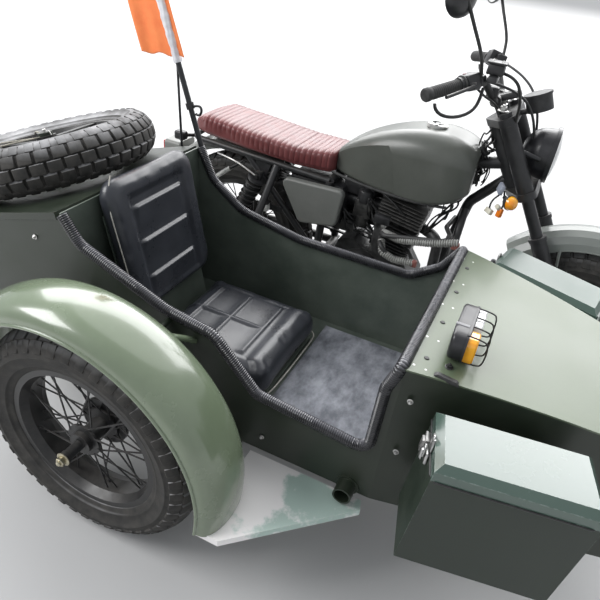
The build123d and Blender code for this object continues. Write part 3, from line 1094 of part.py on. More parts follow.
# Foot pegs, brake pedal and gear lever
PEG_AT = (470.0, 292.0)
peg_bar = across(PEG_AT, 9.0, 100.0, 204.0)
peg_rubber = across(PEG_AT, 13.0, 132.0, 200.0)
peg_hanger = rod((PEG_AT[0], FRAME_HALF_WIDTH, FRAME_FLOOR_Z), (PEG_AT[0], FRAME_HALF_WIDTH, PEG_AT[1]), 9.0)
pedal = pipe([(PEG_AT[0], 126.0, PEG_AT[1]), (560.0, 142.0, 262.0), (628.0, 146.0, 268.0)], 6.0, 20.0)
pedal_pad = across((628.0, 268.0), 10.0, 132.0, 172.0)
foot_set = fused([peg_bar, peg_rubber, peg_hanger, pedal, pedal_pad])
PARTS["foot_controls"] = fused(both_sides(foot_set)) - BIKE_FRAME - PARTS["engine_block"]

# Tail lamp, blank number plate and rear turn signals
TAIL_AT = Vector(-WHEEL_R - 4.0, 0.0, WHEEL_R + 270.0)
tail_body = Pos(*TAIL_AT) * fillet(Box(70.0, 116.0, 66.0).edges().filter_by(Axis.X), 16.0)
PLATE_AT = Vector(-WHEEL_R - 78.0, 0.0, WHEEL_R + 180.0)
plate = Pos(*PLATE_AT) * Rot(0, 12.0, 0) * Box(3.0, 190.0, 130.0)
plate_arm = Pos(PLATE_AT.X + 38.0, 0, PLATE_AT.Z + 40.0) * Box(84.0, 60.0, 8.0)
PARTS["tail_lamp"] = Pos(TAIL_AT.X - 41.0, 0, TAIL_AT.Z) * Box(12.0, 96.0, 50.0)
PARTS["rear_fender"] = fused([PARTS["rear_fender"], tail_body, plate, plate_arm]) - BIKE_FRAME
REAR_SIGNAL_AT = (-214.0, 150.0, 700.0)
rear_signals = []
for side in (1, -1):
    body = Pos(REAR_SIGNAL_AT[0], side * REAR_SIGNAL_AT[1], REAR_SIGNAL_AT[2]) * fillet(
        Box(46.0, 34.0, 34.0).edges(), 9.0)
    stem = rod((REAR_SIGNAL_AT[0] + 20.0, side * 90.0, SEAT_RAIL_Z + 24.0),
               (REAR_SIGNAL_AT[0], side * REAR_SIGNAL_AT[1], REAR_SIGNAL_AT[2]), 7.0)
    rear_signals.append(fused([body, stem]) - BIKE_FRAME - PARTS["bench_seat"])
PARTS["rear_signals"] = rear_signals[0] + rear_signals[1]

# Control cables from the lever perches to the headlamp
CABLE_R = 4.0
CABLE_ROUTE = [
    from_axle(-503.0, 178.0, 802.0), from_axle(-414.0, 120.0, 788.0), from_axle(-339.0, 60.0, 710.0),
    from_axle(-323.0, 40.0, 630.0),
]
cable = pipe(CABLE_ROUTE, CABLE_R, 40.0)
cables = [piece - PARTS["handlebar"] - PARTS["headlamp"] - PARTS["gauge"] for piece in both_sides(cable)]
PARTS["control_cables"] = cables[0] + cables[1]

# Toggle latches on the rear ends of the tool boxes
latch = fused([
    corner_box(-9.0, 0.0, -54.0, -26.0, -92.0, -46.0),
    corner_box(-14.0, -5.0, -48.0, -32.0, -84.0, -54.0),
])
right_latch = box_place() * latch
PARTS["box_latches"] = right_latch + mirror(right_latch, about=TUB_MIRROR)

if __name__ == "__main__":
    os.makedirs("parts", exist_ok=True)
    low, high = Vector(1e9, 1e9, 1e9), Vector(-1e9, -1e9, -1e9)
    for name, solid in PARTS.items():
        placed = Pos(*ORIGIN_SHIFT) * solid
        export_step(placed, f"parts/{name}.step")
        box = placed.bounding_box()
        low = Vector(min(low.X, box.min.X), min(low.Y, box.min.Y), min(low.Z, box.min.Z))
        high = Vector(max(high.X, box.max.X), max(high.Y, box.max.Y), max(high.Z, box.max.Z))
    print("box", low, high, "middle", (low + high) * 0.5)
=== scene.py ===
import random
from math import atan2, cos, pi, radians, sin, sqrt, tan

import bpy
from mathutils import Matrix, Vector


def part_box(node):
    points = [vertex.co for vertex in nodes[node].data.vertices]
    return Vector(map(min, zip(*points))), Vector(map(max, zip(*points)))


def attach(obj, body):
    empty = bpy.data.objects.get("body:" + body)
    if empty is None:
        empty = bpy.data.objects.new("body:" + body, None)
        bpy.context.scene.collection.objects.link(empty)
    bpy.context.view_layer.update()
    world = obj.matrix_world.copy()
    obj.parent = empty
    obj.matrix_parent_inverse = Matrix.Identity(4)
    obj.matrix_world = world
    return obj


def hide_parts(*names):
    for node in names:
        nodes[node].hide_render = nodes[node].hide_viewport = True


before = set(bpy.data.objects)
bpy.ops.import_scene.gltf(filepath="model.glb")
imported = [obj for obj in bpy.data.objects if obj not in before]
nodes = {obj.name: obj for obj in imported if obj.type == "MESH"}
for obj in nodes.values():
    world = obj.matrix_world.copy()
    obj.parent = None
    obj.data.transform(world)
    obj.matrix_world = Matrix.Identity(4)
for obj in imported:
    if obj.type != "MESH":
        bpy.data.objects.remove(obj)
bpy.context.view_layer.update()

# Camera: held at a standing person's height off the sidecar's right front corner,
# looking down over the cockpit and across to the motorcycle.
camera_data = bpy.data.cameras.new("camera")
camera_data.lens = 34.425
camera_data.sensor_width = 36.0
camera = bpy.data.objects.new("camera", camera_data)
camera.matrix_world = Matrix((
    (0.90120348, -0.32204978, 0.29002797, 0.5223),
    (0.4184796, 0.47256363, -0.77560199, -1.5041),
    (0.11272578, 0.820346, 0.56064725, 1.4701),
    (0.0, 0.0, 0.0, 1.0),
))
bpy.context.scene.collection.objects.link(camera)
bpy.context.scene.camera = camera
bpy.context.scene.view_settings.view_transform = "Standard"


# Every place below is given in metres from the ground under the rear axle, as a
# builder would measure it: ahead, to the left and up. This puts it in the frame.
REAR_AXLE = (-0.526, 0.4742)
TUB_Y = -0.716


def spot(ahead, left, up):
    return Vector((ahead + REAR_AXLE[0], left + REAR_AXLE[1], up))


def spots(*places, side=1):
    return [spot(x, side * y, z) for x, y, z in places]


def at(ahead, left, up):
    return Matrix.Translation(spot(ahead, left, up))


# Control cables: black sheathed steel cables from the lever perches, in a bow over
# the lamp into the shell behind the headlamp. They turn with the handlebar.
def clear():
    """Leaves nothing selected, in object mode."""
    if bpy.context.mode != "OBJECT":
        bpy.ops.object.mode_set(mode="OBJECT")
    bpy.ops.object.select_all(action="DESELECT")


def surface(
        name, dark, light, scale=30.0, rough=(0.4, 0.6), bump=0.1, grain=600.0, metallic=0.0, coat=0.0,
        edge=None, dust_and_sheen=None, stretch=(1.0, 1.0, 1.0), patch=(0.32, 0.68)):
    """A finish whose colour wanders from dark to light, with grain, worn edges, dust and painted sheen on
    top.
    """
    material = bpy.data.materials.new(name)
    material.use_nodes = True
    tree = material.node_tree
    link = tree.links.new

    def add(kind, operation=None, **numbers):
        node = tree.nodes.new("ShaderNode" + kind)
        if operation:
            node.operation = operation
        for socket, number in numbers.items():
            node.inputs[socket.replace("_", " ")].default_value = number
        return node

    def noise(size, detail):
        node = add("TexNoise", Scale=size, Detail=detail, Roughness=0.62)
        link(mapping.outputs["Vector"], node.inputs["Vector"])
        return node.outputs["Fac"]

    def ramp(value, low, high, start, end):
        node = add("MapRange", From_Min=low, From_Max=high, To_Min=start, To_Max=end)
        link(value, node.inputs["Value"])
        return node.outputs["Result"]

    def product(first, second):
        node = add("Math", "MULTIPLY")
        link(first, node.inputs[0])
        link(second, node.inputs[1])
        return node.outputs["Value"]

    def mix(factor, first, second):
        node = add("Mix")
        node.data_type = "RGBA"
        link(factor, node.inputs["Factor"])
        for socket, colour in (("A", first), ("B", second)):
            if isinstance(colour, tuple):
                node.inputs[socket].default_value = (*colour, 1.0)
            else:
                link(colour, node.inputs[socket])
        return node.outputs["Result"]

    shader = tree.nodes["Principled BSDF"]
    for socket, number in (("Metallic", metallic), ("Coat Weight", coat), ("Coat Roughness", 0.12)):
        shader.inputs[socket].default_value = number
    place = add("TexCoord")
    mapping = add("Mapping", Scale=stretch)
    link(place.outputs["Object"], mapping.inputs["Vector"])
    patches = noise(scale, 8.0)
    colour = mix(ramp(patches, *patch, 0.0, 1.0), dark, light)
    # Paler tint on upward faces: real dust on some finishes, a painted sheen of the sky on others.
    if dust_and_sheen:
        normal = add("SeparateXYZ")
        link(place.outputs["Normal"], normal.inputs["Vector"])
        upward = ramp(normal.outputs["Z"], 0.55, 1.0, 0.0, dust_and_sheen[1])
        dust_and_sheen_mask = product(upward, ramp(noise(scale * 0.35, 10.0), 0.35, 0.65, 0.25, 1.0))
        colour = mix(dust_and_sheen_mask, colour, dust_and_sheen[0])
    if edge:
        bevel = add("Bevel", Radius=edge[1])
        bevel.samples = 4
        turn = add("VectorMath", "DOT_PRODUCT")
        link(bevel.outputs["Normal"], turn.inputs[0])
        link(add("NewGeometry").outputs["Normal"], turn.inputs[1])
        rubbed = ramp(turn.outputs["Value"], 0.985, 0.86, 0.0, edge[2])
        colour = mix(product(rubbed, ramp(noise(90.0, 6.0), 0.45, 0.62, 0.0, 1.0)), colour, edge[0])
    link(colour, shader.inputs["Base Color"])
    link(ramp(patches, 0.3, 0.7, *rough), shader.inputs["Roughness"])
    relief = add("Bump", Strength=bump, Distance=0.001)
    link(noise(grain, 3.0), relief.inputs["Height"])
    link(relief.outputs["Normal"], shader.inputs["Normal"])
    return material


def dress(material, *names):
    """Gives a finish to CAD nodes, in place of the one that they came with."""
    for name in names:
        for slot in nodes[name].material_slots:
            slot.material = material


def paint(piece, finish):
    """Gives a new piece one finish, in place of any that it has."""
    piece.data.materials.clear()
    piece.data.materials.append(finish)
    return piece


def fit(piece, body="chassis", node=None):
    """Puts a new piece on its body, and hides the CAD node that it stands for."""
    if node:
        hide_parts(node)
    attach(piece, body)
    return piece


def line(name, points, radius, material=None, body=None, order=3, sides=4, mesh=True):
    """A round wire, cable or hose along a smooth line through its points."""
    curve = bpy.data.curves.new(name, "CURVE")
    curve.dimensions = "3D"
    curve.bevel_depth = radius
    curve.bevel_resolution = sides
    curve.resolution_u = 8
    curve.use_fill_caps = True
    spline = curve.splines.new("NURBS")
    spline.points.add(len(points) - 1)
    for knot, point in zip(spline.points, points):
        knot.co = (*point, 1.0)
    spline.order_u = order
    spline.use_endpoint_u = True
    piece = bpy.data.objects.new(name, curve)
    bpy.context.scene.collection.objects.link(piece)
    if material:
        curve.materials.append(material)
    if mesh:
        clear()
        piece.select_set(True)
        bpy.context.view_layer.objects.active = piece
        bpy.ops.object.convert(target="MESH")
        bpy.ops.object.shade_smooth()
    return fit(piece, body) if body else piece


sheath = surface("cable_sheath", (0.012, 0.012, 0.013), (0.03, 0.03, 0.032), rough=(0.45, 0.6))
CABLE_ROUTE = [(0.846, 0.178, 1.122), (0.935, 0.12, 1.108), (1.01, 0.06, 1.03), (1.026, 0.04, 0.95)]
for side in (1, -1):
    route = spots(*CABLE_ROUTE, side=side)
    cable = line(
        f"control_cable_{'left' if side > 0 else 'right'}", route, 0.004, sheath, "steering",
        mesh=False)
    if side > 0:
        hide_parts("control_cables")

# Floor and studio: a pale seamless floor that runs to the horizon, one wide soft light
# behind and above the motorcycle, and a softer one from the camera's left.
bpy.ops.mesh.primitive_plane_add(size=60.0, location=(0.0, 0.0, 0.0))
floor = bpy.context.object
floor.name = "floor"
floor_paint = bpy.data.materials.new("studio_floor")
floor_paint.use_nodes = True
shader = floor_paint.node_tree.nodes["Principled BSDF"]
shader.inputs["Base Color"].default_value = (0.5, 0.5, 0.5, 1.0)
shader.inputs["Roughness"].default_value = 0.9
paint(floor, floor_paint)

world = bpy.data.worlds.new("studio")
world.use_nodes = True
world.node_tree.nodes["Background"].inputs["Color"].default_value = (0.93, 0.96, 1.0, 1.0)
world.node_tree.nodes["Background"].inputs["Strength"].default_value = 0.65
bpy.context.scene.world = world
LAMPS = [
    # name, place, point that it faces, width, height, watts
    ("back_light", (-3.42, 12.38, 9.25), (0.3, -0.6, 0.4), 29.0, 10.2, 5240.0),
    ("side_light", (-3.2, -2.2, 3.4), (0.0, -0.3, 0.4), 2.6, 2.0, 170.0),
]
for name, place, target, width, height, watts in LAMPS:
    lamp_data = bpy.data.lights.new(name, "AREA")
    lamp_data.shape = "RECTANGLE"
    lamp_data.size, lamp_data.size_y = width, height
    lamp_data.energy = watts
    lamp = bpy.data.objects.new(name, lamp_data)
    bpy.context.scene.collection.objects.link(lamp)
    aim = Vector(target) - Vector(place)
    lamp.matrix_world = Matrix.Translation(place) @ aim.to_track_quat("-Z", "Y").to_matrix().to_4x4()

sky_data = bpy.data.lights.new("sky_light", "SUN")
sky_data.energy, sky_data.angle = 1.4, radians(70)
sky = bpy.data.objects.new("sky_light", sky_data)
bpy.context.scene.collection.objects.link(sky)
sky.matrix_world = Vector((0.0, -0.8, -1.0)).to_track_quat("-Z", "Y").to_matrix().to_4x4()

# Motorcycle frame, swinging arm and struts: welded steel tube, painted satin black,
# with dust on the upper faces and a little bare metal at the edges.
frame_black = surface(
    "frame_black", (0.01, 0.01, 0.011), (0.028, 0.028, 0.03), scale=22.0, rough=(0.32, 0.55), bump=0.06,
    edge=((0.16, 0.15, 0.14), 0.002, 0.5), dust_and_sheen=((0.1, 0.095, 0.085), 0.5))
dress(
    frame_black, "bike_frame", "swinging_arm", "sidecar_frame", "sidecar_links", "trailing_arm",
    "foot_controls", "steering_yokes", "fork_legs", "handlebar", "shocks", "axles", "front_axle")

# Box latches: the fixed halves below the hooks, bent from plain steel strip and riveted
# to the tool boxes' rear ends.
steel = surface(
    "plain_steel", (0.3, 0.3, 0.3), (0.52, 0.51, 0.5), scale=40.0, rough=(0.28, 0.5), metallic=1.0,
    bump=0.05)
dress(steel, "box_latches")

# Wheel rims: rolled steel rims and cast hubs, laced together with steel spokes, all
# painted gloss black.
wheel_black = surface(
    "wheel_black", (0.009, 0.009, 0.01), (0.03, 0.029, 0.028), rough=(0.3, 0.5), bump=0.05,
    dust_and_sheen=((0.14, 0.13, 0.12), 0.4), edge=((0.25, 0.25, 0.26), 0.0015, 0.35))
dress(wheel_black, "front_wheel_rim", "rear_wheel_rim", "sidecar_wheel_rim", "spare_wheel_rim")

# Engine, chain and exhaust: painted castings with their fins' edges rubbed to bare
# metal, bolted in the frame's cradle.
engine_black = surface(
    "engine_black", (0.012, 0.012, 0.012), (0.05, 0.05, 0.05), scale=45.0, rough=(0.35, 0.65), bump=0.2,
    grain=400.0, edge=((0.32, 0.32, 0.31), 0.002, 0.7))
dress(engine_black, "engine_block", "cylinder", "chain", "exhaust")

# Tank, side covers and mudguards: pressed steel in matt grey-olive, the covers and
# mudguards a shade lighter, each held by hidden bolts.
tank_paint = surface(
    "matt_olive_tank", (0.078, 0.084, 0.074), (0.098, 0.104, 0.092), scale=8.0, rough=(0.3, 0.38), bump=0.03,
    grain=1400.0, coat=0.08)
dress(tank_paint, "fuel_tank")
cover_paint = surface(
    "side_cover_paint", (0.15, 0.156, 0.146), (0.185, 0.19, 0.178), scale=8.0, rough=(0.36, 0.46), bump=0.03,
    grain=1400.0, edge=((0.22, 0.23, 0.21), 0.002, 0.4))
dress(cover_paint, "side_covers", "rear_fender")
mudguard_paint = surface(
    "front_fender_paint", (0.15, 0.165, 0.152), (0.19, 0.205, 0.19), scale=6.0, rough=(0.3, 0.42), bump=0.03,
    grain=900.0, coat=0.3)
dress(mudguard_paint, "front_fender")

# Sidecar body: folded sheet steel, the hood in semi-gloss olive, the side panels and trunk lid in
# a darker copy of it that is painted shade, and the inside a greyer olive that boots and bags have
# rubbed.
olive_gloss = surface(
    "olive_gloss_paint", (0.085, 0.112, 0.068), (0.11, 0.14, 0.088), scale=4.0, rough=(0.34, 0.46),
    bump=0.02, grain=700.0, coat=0.1, edge=((0.3, 0.33, 0.28), 0.002, 0.5))
dress(olive_gloss, "hood")
# A much darker copy of the body olive, as painted shade on the outer side faces.
olive_painted_shade = surface(
    "olive_side_painted_shade", (0.013, 0.019, 0.012), (0.024, 0.031, 0.021), scale=6.0, rough=(0.3, 0.5), bump=0.04,
    grain=500.0, edge=((0.2, 0.24, 0.18), 0.002, 0.4))
dress(olive_painted_shade, "tub_right_panel", "trunk_lid")
olive_inner = surface(
    "olive_inner_paint", (0.064, 0.08, 0.066), (0.1, 0.118, 0.1), scale=11.0, rough=(0.3, 0.5), bump=0.06,
    grain=260.0, edge=((0.2, 0.24, 0.18), 0.002, 0.4))
dress(olive_inner, "tub_left_panel", "tub_floor", "seat_frame")

# Flag pole: a slim stave in a smooth black plastic coat, standing at the trunk's left
# and leaning back.
vinyl = surface(
    "black_vinyl", (0.012, 0.013, 0.015), (0.022, 0.024, 0.027), scale=14.0, rough=(0.26, 0.42), bump=0.3,
    grain=1100.0)
dress(vinyl, "flag_pole")

# Step plate: green painted steel plate, bolted to the sidecar frame ahead of its wheel
# and walked bare across the middle. Both its colours are lightened as painted light, for the
# shade that the step lies in.
worn_step_painted_light = surface(
    "scuffed_step_painted_light", (0.42, 0.54, 0.49), (0.86, 0.84, 0.83), scale=4.2, rough=(0.35, 0.6), bump=0.15,
    edge=((0.65, 0.64, 0.62), 0.004, 0.7), patch=(0.45, 0.505))
dress(worn_step_painted_light, "step_plate")

# Lenses: a clear headlamp glass, held in the lamp's rim, and a red tail lamp, moulded in
# one piece and screwed on.
clear_lens = surface("clear_lens", (0.5, 0.5, 0.5), (0.7, 0.7, 0.7), rough=(0.05, 0.12), bump=0.02)
dress(clear_lens, "headlamp_lens")
red_lens = surface("red_lens", (0.35, 0.01, 0.01), (0.5, 0.02, 0.02), rough=(0.1, 0.2), bump=0.02)
dress(red_lens, "tail_lamp")

# Cockpit trim: split rubber conduit pushed over the sheet edges, in one run down the
# right rim, along the hood's rear edge and back up the left rim, ribbed every 6 mm.
def smooth(degrees):
    """Shades the active piece smooth, but for edges sharper than an angle."""
    bpy.ops.object.shade_smooth_by_angle(angle=radians(degrees))


def rounded(corners, bends):
    """The points of a path whose corners are rounded to the given radii."""
    points = [corners[0]]
    for before, corner, after, bend in zip(corners, corners[1:], corners[2:], bends):
        back, ahead = (before - corner).normalized(), (after - corner).normalized()
        half = back.angle(ahead) / 2
        reach = bend / tan(half)
        middle = corner + (back + ahead).normalized() * (bend / sin(half))
        start, end = corner + back * reach, corner + ahead * reach
        steps = max(3, int((pi - 2 * half) / radians(9)))
        for step in range(steps + 1):
            way = (start - middle).lerp(end - middle, step / steps)
            points.append(middle + way.normalized() * bend)
    return points + [corners[-1]]


def along(piece, points, name):
    """Repeats a short piece that lies along X end to end along a path, as one piece."""
    curve = bpy.data.curves.new("guide", "CURVE")
    curve.dimensions = "3D"
    curve.twist_mode = "MINIMUM"
    spline = curve.splines.new("POLY")
    spline.points.add(len(points) - 1)
    for knot, point in zip(spline.points, points):
        knot.co = (*point, 1.0)
    guide = bpy.data.objects.new("guide", curve)
    bpy.context.scene.collection.objects.link(guide)
    array = piece.modifiers.new("run", "ARRAY")
    array.fit_type = "FIT_CURVE"
    array.curve = guide
    array.use_merge_vertices = True
    array.merge_threshold = 0.0002
    bend = piece.modifiers.new("bend", "CURVE")
    bend.object = guide
    clear()
    piece.select_set(True)
    bpy.context.view_layer.objects.active = piece
    bpy.ops.object.modifier_apply(modifier="run")
    bpy.ops.object.modifier_apply(modifier="bend")
    bpy.data.objects.remove(guide)
    piece.name = name
    return piece


def hose_rib(radius, pitch, rise, sides=20):
    """One rib of corrugated hose along X: a short tube whose middle stands proud."""
    clear()
    bpy.ops.mesh.primitive_cylinder_add(
        vertices=sides, radius=radius, depth=pitch, end_fill_type="NOTHING", location=(pitch / 2, 0.0, 0.0),
        rotation=(0.0, pi / 2, 0.0))
    piece = bpy.context.object
    bpy.ops.object.transform_apply(location=True, rotation=True, scale=True)
    bpy.ops.object.mode_set(mode="EDIT")
    bpy.ops.mesh.select_all(action="SELECT")
    bpy.ops.mesh.bisect(plane_co=(0.3 * pitch, 0.0, 0.0), plane_no=(1.0, 0.0, 0.0))
    bpy.ops.mesh.select_all(action="SELECT")
    bpy.ops.mesh.bisect(plane_co=(0.7 * pitch, 0.0, 0.0), plane_no=(1.0, 0.0, 0.0))
    bpy.ops.object.mode_set(mode="OBJECT")
    for vertex in piece.data.vertices:
        inside = 0.1 * pitch < vertex.co.x < 0.9 * pitch
        grow = 1.0 + (rise if inside else -rise) / radius
        vertex.co.y *= grow
        vertex.co.z *= grow
    return piece


TRIM_R = 0.0137
RIM_Y = (TUB_Y - 0.311, TUB_Y + 0.311)
RIGHT_RIM = [
    (0.04, 0.783), (0.088, 0.716), (0.345, 0.617), (0.482, 0.598), (0.612, 0.466), (0.914, 0.436),
    (0.917, 0.64), (0.938, 0.706)]
RIGHT_BENDS = [0.055, 0.15, 0.06, 0.034, 0.036, 0.06]
LEFT_RIM = [
    (0.04, 0.783), (0.09, 0.686), (0.205, 0.606), (0.43, 0.566), (0.812, 0.566), (0.9, 0.628),
    (0.946, 0.705)]
LEFT_BENDS = [0.08, 0.12, 0.2, 0.06, 0.06]
corners = [spot(x, RIM_Y[0], z) for x, z in RIGHT_RIM] + [
    spot(x, RIM_Y[1], z) for x, z in reversed(LEFT_RIM)]
trim_path = rounded(corners, RIGHT_BENDS + [0.018, 0.018] + LEFT_BENDS[::-1])
# The pale tint on the trim's upward faces is a painted reflection of the sky.
trim_rubber_painted_sheen = surface(
    "ribbed_trim_painted_sheen", (0.012, 0.012, 0.014), (0.026, 0.026, 0.03), scale=20.0, rough=(0.2, 0.36), grain=500.0,
    coat=0.2, dust_and_sheen=((0.24, 0.24, 0.27), 0.55))
trim = along(hose_rib(TRIM_R, 0.0055, 0.0007), trim_path, "cockpit_trim_ribbed")
paint(trim, trim_rubber_painted_sheen)
smooth(40)
fit(trim, node="cockpit_trim")

# Sidecar seat: two foam pads in black vinyl, welded into rolls and channels from above,
# with a pale edge cord where the vinyl is drawn under the cushion.
PAD_HALF = 0.187
VOXEL, PRESSURE, STUFFING_FRAMES, EVENING = 0.0055, 4.0, 20, 12


def change(piece, kind, **settings):
    """Adds one modifier to the active piece, with its settings, and applies it."""
    modifier = piece.modifiers.new("change", kind)
    for key, value in settings.items():
        setattr(modifier, key, value)
    bpy.ops.object.modifier_apply(modifier=modifier.name)


def plump(name, size, corner, cap):
    """A stuffed pad about the origin: a rounded slab blown up as cloth, never further than the cap."""
    clear()
    bpy.ops.mesh.primitive_cube_add(size=1.0)
    piece = bpy.context.object
    piece.name = name
    piece.scale = size
    bpy.ops.object.transform_apply(scale=True)
    bpy.context.tool_settings.mesh_select_mode = (False, True, False)
    bpy.ops.object.mode_set(mode="EDIT")
    bpy.ops.mesh.select_all(action="DESELECT")
    bpy.ops.object.mode_set(mode="OBJECT")
    for edge in piece.data.edges:
        a, b = (piece.data.vertices[index].co for index in edge.vertices)
        edge.select = abs(a.z - b.z) > 0.5 * size[2]
    bpy.ops.object.mode_set(mode="EDIT")
    bpy.ops.mesh.bevel(offset=corner, segments=8, affect="EDGES")
    bpy.ops.object.mode_set(mode="OBJECT")
    change(piece, "BEVEL", width=0.4 * size[2], segments=5, limit_method="ANGLE")
    change(piece, "REMESH", mode="VOXEL", voxel_size=VOXEL)
    rest = [vertex.co.copy() for vertex in piece.data.vertices]
    cloth = piece.modifiers.new("stuffing", "CLOTH")
    cloth.settings.use_pressure = True
    cloth.settings.uniform_pressure_force = PRESSURE
    cloth.settings.effector_weights.gravity = 0.0
    cloth.settings.quality = 4
    for step in range(1, STUFFING_FRAMES + 1):
        bpy.context.scene.frame_set(step)
    bpy.ops.object.modifier_apply(modifier="stuffing")
    bpy.context.scene.frame_set(1)
    for vertex, start in zip(piece.data.vertices, rest):
        move = vertex.co - start
        if move.length > cap:
            vertex.co = start + move.normalized() * cap
    change(piece, "SMOOTH", iterations=EVENING)
    change(piece, "SUBSURF", levels=1, render_levels=1)
    bpy.ops.object.shade_smooth()
    return piece


def step_up(value, start, width):
    """Rises smoothly from 0 to 1 as value goes from start to start + width."""
    share = min(max((value - start) / width, 0.0), 1.0)
    return share * share * (3.0 - 2.0 * share)


def ridge(distance, width):
    return max(0.0, 1.0 - (distance / width) ** 2) ** 2


def shape_face(piece, height):
    """Moves the points of a pad's upper face up or down by a height for their place."""
    facing = [vertex.normal.z for vertex in piece.data.vertices]
    for vertex, up in zip(piece.data.vertices, facing):
        if up > 0.15:
            vertex.co.z += height(vertex.co.x, vertex.co.y) * min(1.0, 1.6 * up)


car_vinyl = surface(
    "padded_vinyl", (0.024, 0.026, 0.032), (0.04, 0.043, 0.052), scale=9.0, rough=(0.24, 0.36), bump=0.16,
    grain=1300.0)

# The back: three raised rolls across a sunk panel, inside a fat bolster.
BACK_HIGH = 0.408
BACK_LINES = (0.307, 0.205, 0.096)
PANEL_HALF, PANEL_LOW, PANEL_TOP = 0.124, 0.03, 0.345


def back_height(x, y):
    up = y + BACK_HIGH / 2
    across = step_up(PANEL_HALF + 0.012 - abs(x), 0.0, 0.026)
    inside = across * step_up(up, PANEL_LOW - 0.014, 0.026) * step_up(PANEL_TOP + 0.014 - up, 0.0, 0.026)
    rolls = 0.0
    for line_up in BACK_LINES:
        below = line_up - up
        fall = ridge(below, 0.009) if below < 0.0 else max(0.0, 1.0 - below / 0.082) ** 1.4
        rolls = max(rolls, fall)
    return -0.01 * inside + 0.0095 * rolls * step_up(PANEL_HALF - 0.004 - abs(x), 0.0, 0.024)


seat_back = plump("seat_back_pad", (2 * PAD_HALF + 0.022, BACK_HIGH, 0.044), 0.055, 0.008)
shape_face(seat_back, back_height)
RECLINE = radians(14)
front, rise = Vector((cos(RECLINE), 0.0, sin(RECLINE))), Vector((-sin(RECLINE), 0.0, cos(RECLINE)))
turn = Matrix((Vector((0.0, 1.0, 0.0)), rise, front)).transposed().to_4x4()
middle = spot(0.176, TUB_Y, 0.436) + rise * 0.209 - front * 0.026
seat_back.data.transform(Matrix.Translation(middle) @ turn)
paint(seat_back, car_vinyl)
fit(seat_back, node="seat_back")

# The cushion: side bolsters and a front roll round a grid of pressed squares.
CUSHION_DEEP, CUSHION_THICK = 0.398, 0.088
CUSHION_LINES = (-0.131, -0.026, 0.087)


def cushion_height(x, y):
    side = step_up(abs(y), 0.138, 0.036)
    nose = step_up(x, 0.1, 0.044)
    cross = 0.0
    for line_at in CUSHION_LINES:
        behind = line_at - x
        fall = ridge(behind, 0.01) if behind < 0.0 else max(0.0, 1.0 - behind / 0.045) ** 2
        cross = max(cross, fall * step_up(0.14 - abs(y), 0.0, 0.016))
    keel = ridge(y, 0.012) * step_up(0.092 - x, 0.0, 0.014)
    return 0.011 * max(side, nose) + 0.006 * max(cross, keel) - 0.004


cushion = plump("seat_cushion_pad", (CUSHION_DEEP, 2 * PAD_HALF + 0.012, CUSHION_THICK), 0.04, 0.01)
shape_face(cushion, cushion_height)
cushion.data.transform(at(0.381, TUB_Y + 0.003, 0.354))
paint(cushion, car_vinyl)
fit(cushion, node="seat_cushion")
edge_cord = surface(
    "edge_cord", (0.3, 0.29, 0.26), (0.55, 0.53, 0.48), scale=60.0, rough=(0.6, 0.8), bump=0.2)
CUSHION_EDGE = [
    (0.24, -0.184, 0.316), (0.42, -0.189, 0.319), (0.56, -0.184, 0.316), (0.578, -0.15, 0.318),
    (0.58, -0.04, 0.314), (0.582, 0.06, 0.317), (0.58, 0.15, 0.311), (0.575, 0.186, 0.314),
    (0.552, 0.192, 0.318)]
BACK_EDGE = [
    (0.16, -0.184, 0.448), (0.136, -0.19, 0.56), (0.104, -0.19, 0.68), (0.072, -0.186, 0.79),
    (0.058, -0.15, 0.838)]
for name, edge, radius in (
        ("cushion_edge_cord", CUSHION_EDGE, 0.0022), ("back_edge_cord", BACK_EDGE, 0.0018)):
    line(name, [spot(x, TUB_Y + y, z) for x, y, z in edge], radius, edge_cord, "chassis", sides=2)

# Floor mat: a loose sheet of worn rubber-backed carpet, cut to the cockpit's floor and
# scuffed pale where feet rest.
mat_finish = surface(
    "worn_mat", (0.12, 0.127, 0.148), (0.38, 0.395, 0.435), rough=(0.75, 0.95), bump=0.5, grain=700.0,
    stretch=(1.0, 0.6, 1.0), patch=(0.34, 0.8))
dress(mat_finish, "floor_mat")

# Bench seat: foam on a steel pan, in oxblood vinyl pleated across, with a plain skirt
# round its lower edge. It sits on the rear frame and against the tank.
BENCH = [
    # ahead, half width, bottom, top
    (-0.186, 0.096, 0.716, 0.764), (-0.12, 0.122, 0.708, 0.791), (0.06, 0.129, 0.696, 0.776),
    (0.26, 0.124, 0.686, 0.762), (0.4, 0.1, 0.684, 0.77),
]
PLEAT = 0.0205


def between(rows, value):
    """The row of a table at a value of its first column, with its neighbours blended."""
    for low, high in zip(rows, rows[1:]):
        if value <= high[0]:
            share = step_up(value, low[0], high[0] - low[0])
            return [a + (b - a) * share for a, b in zip(low, high)]
    return list(rows[-1])


def power(value, exponent):
    return abs(value) ** exponent * (1 if value > 0 else -1)


def grid(name, across, along):
    """A flat grid of faces, 1 by 1 about the origin, that is then bent into shape."""
    clear()
    bpy.ops.mesh.primitive_grid_add(x_subdivisions=across, y_subdivisions=along, size=1.0)
    bpy.context.object.name = name
    return bpy.context.object


def close_up(merge=None, capped=False):
    """Turns the active mesh's faces outward, after near points are merged and open ends capped."""
    bpy.ops.object.mode_set(mode="EDIT")
    bpy.ops.mesh.select_all(action="SELECT")
    if merge:
        bpy.ops.mesh.remove_doubles(threshold=merge)
    if capped:
        bpy.ops.mesh.select_all(action="DESELECT")
        bpy.ops.mesh.select_non_manifold()
        bpy.ops.mesh.edge_face_add()
        bpy.ops.mesh.select_all(action="SELECT")
    bpy.ops.mesh.normals_make_consistent(inside=False)
    bpy.ops.object.mode_set(mode="OBJECT")


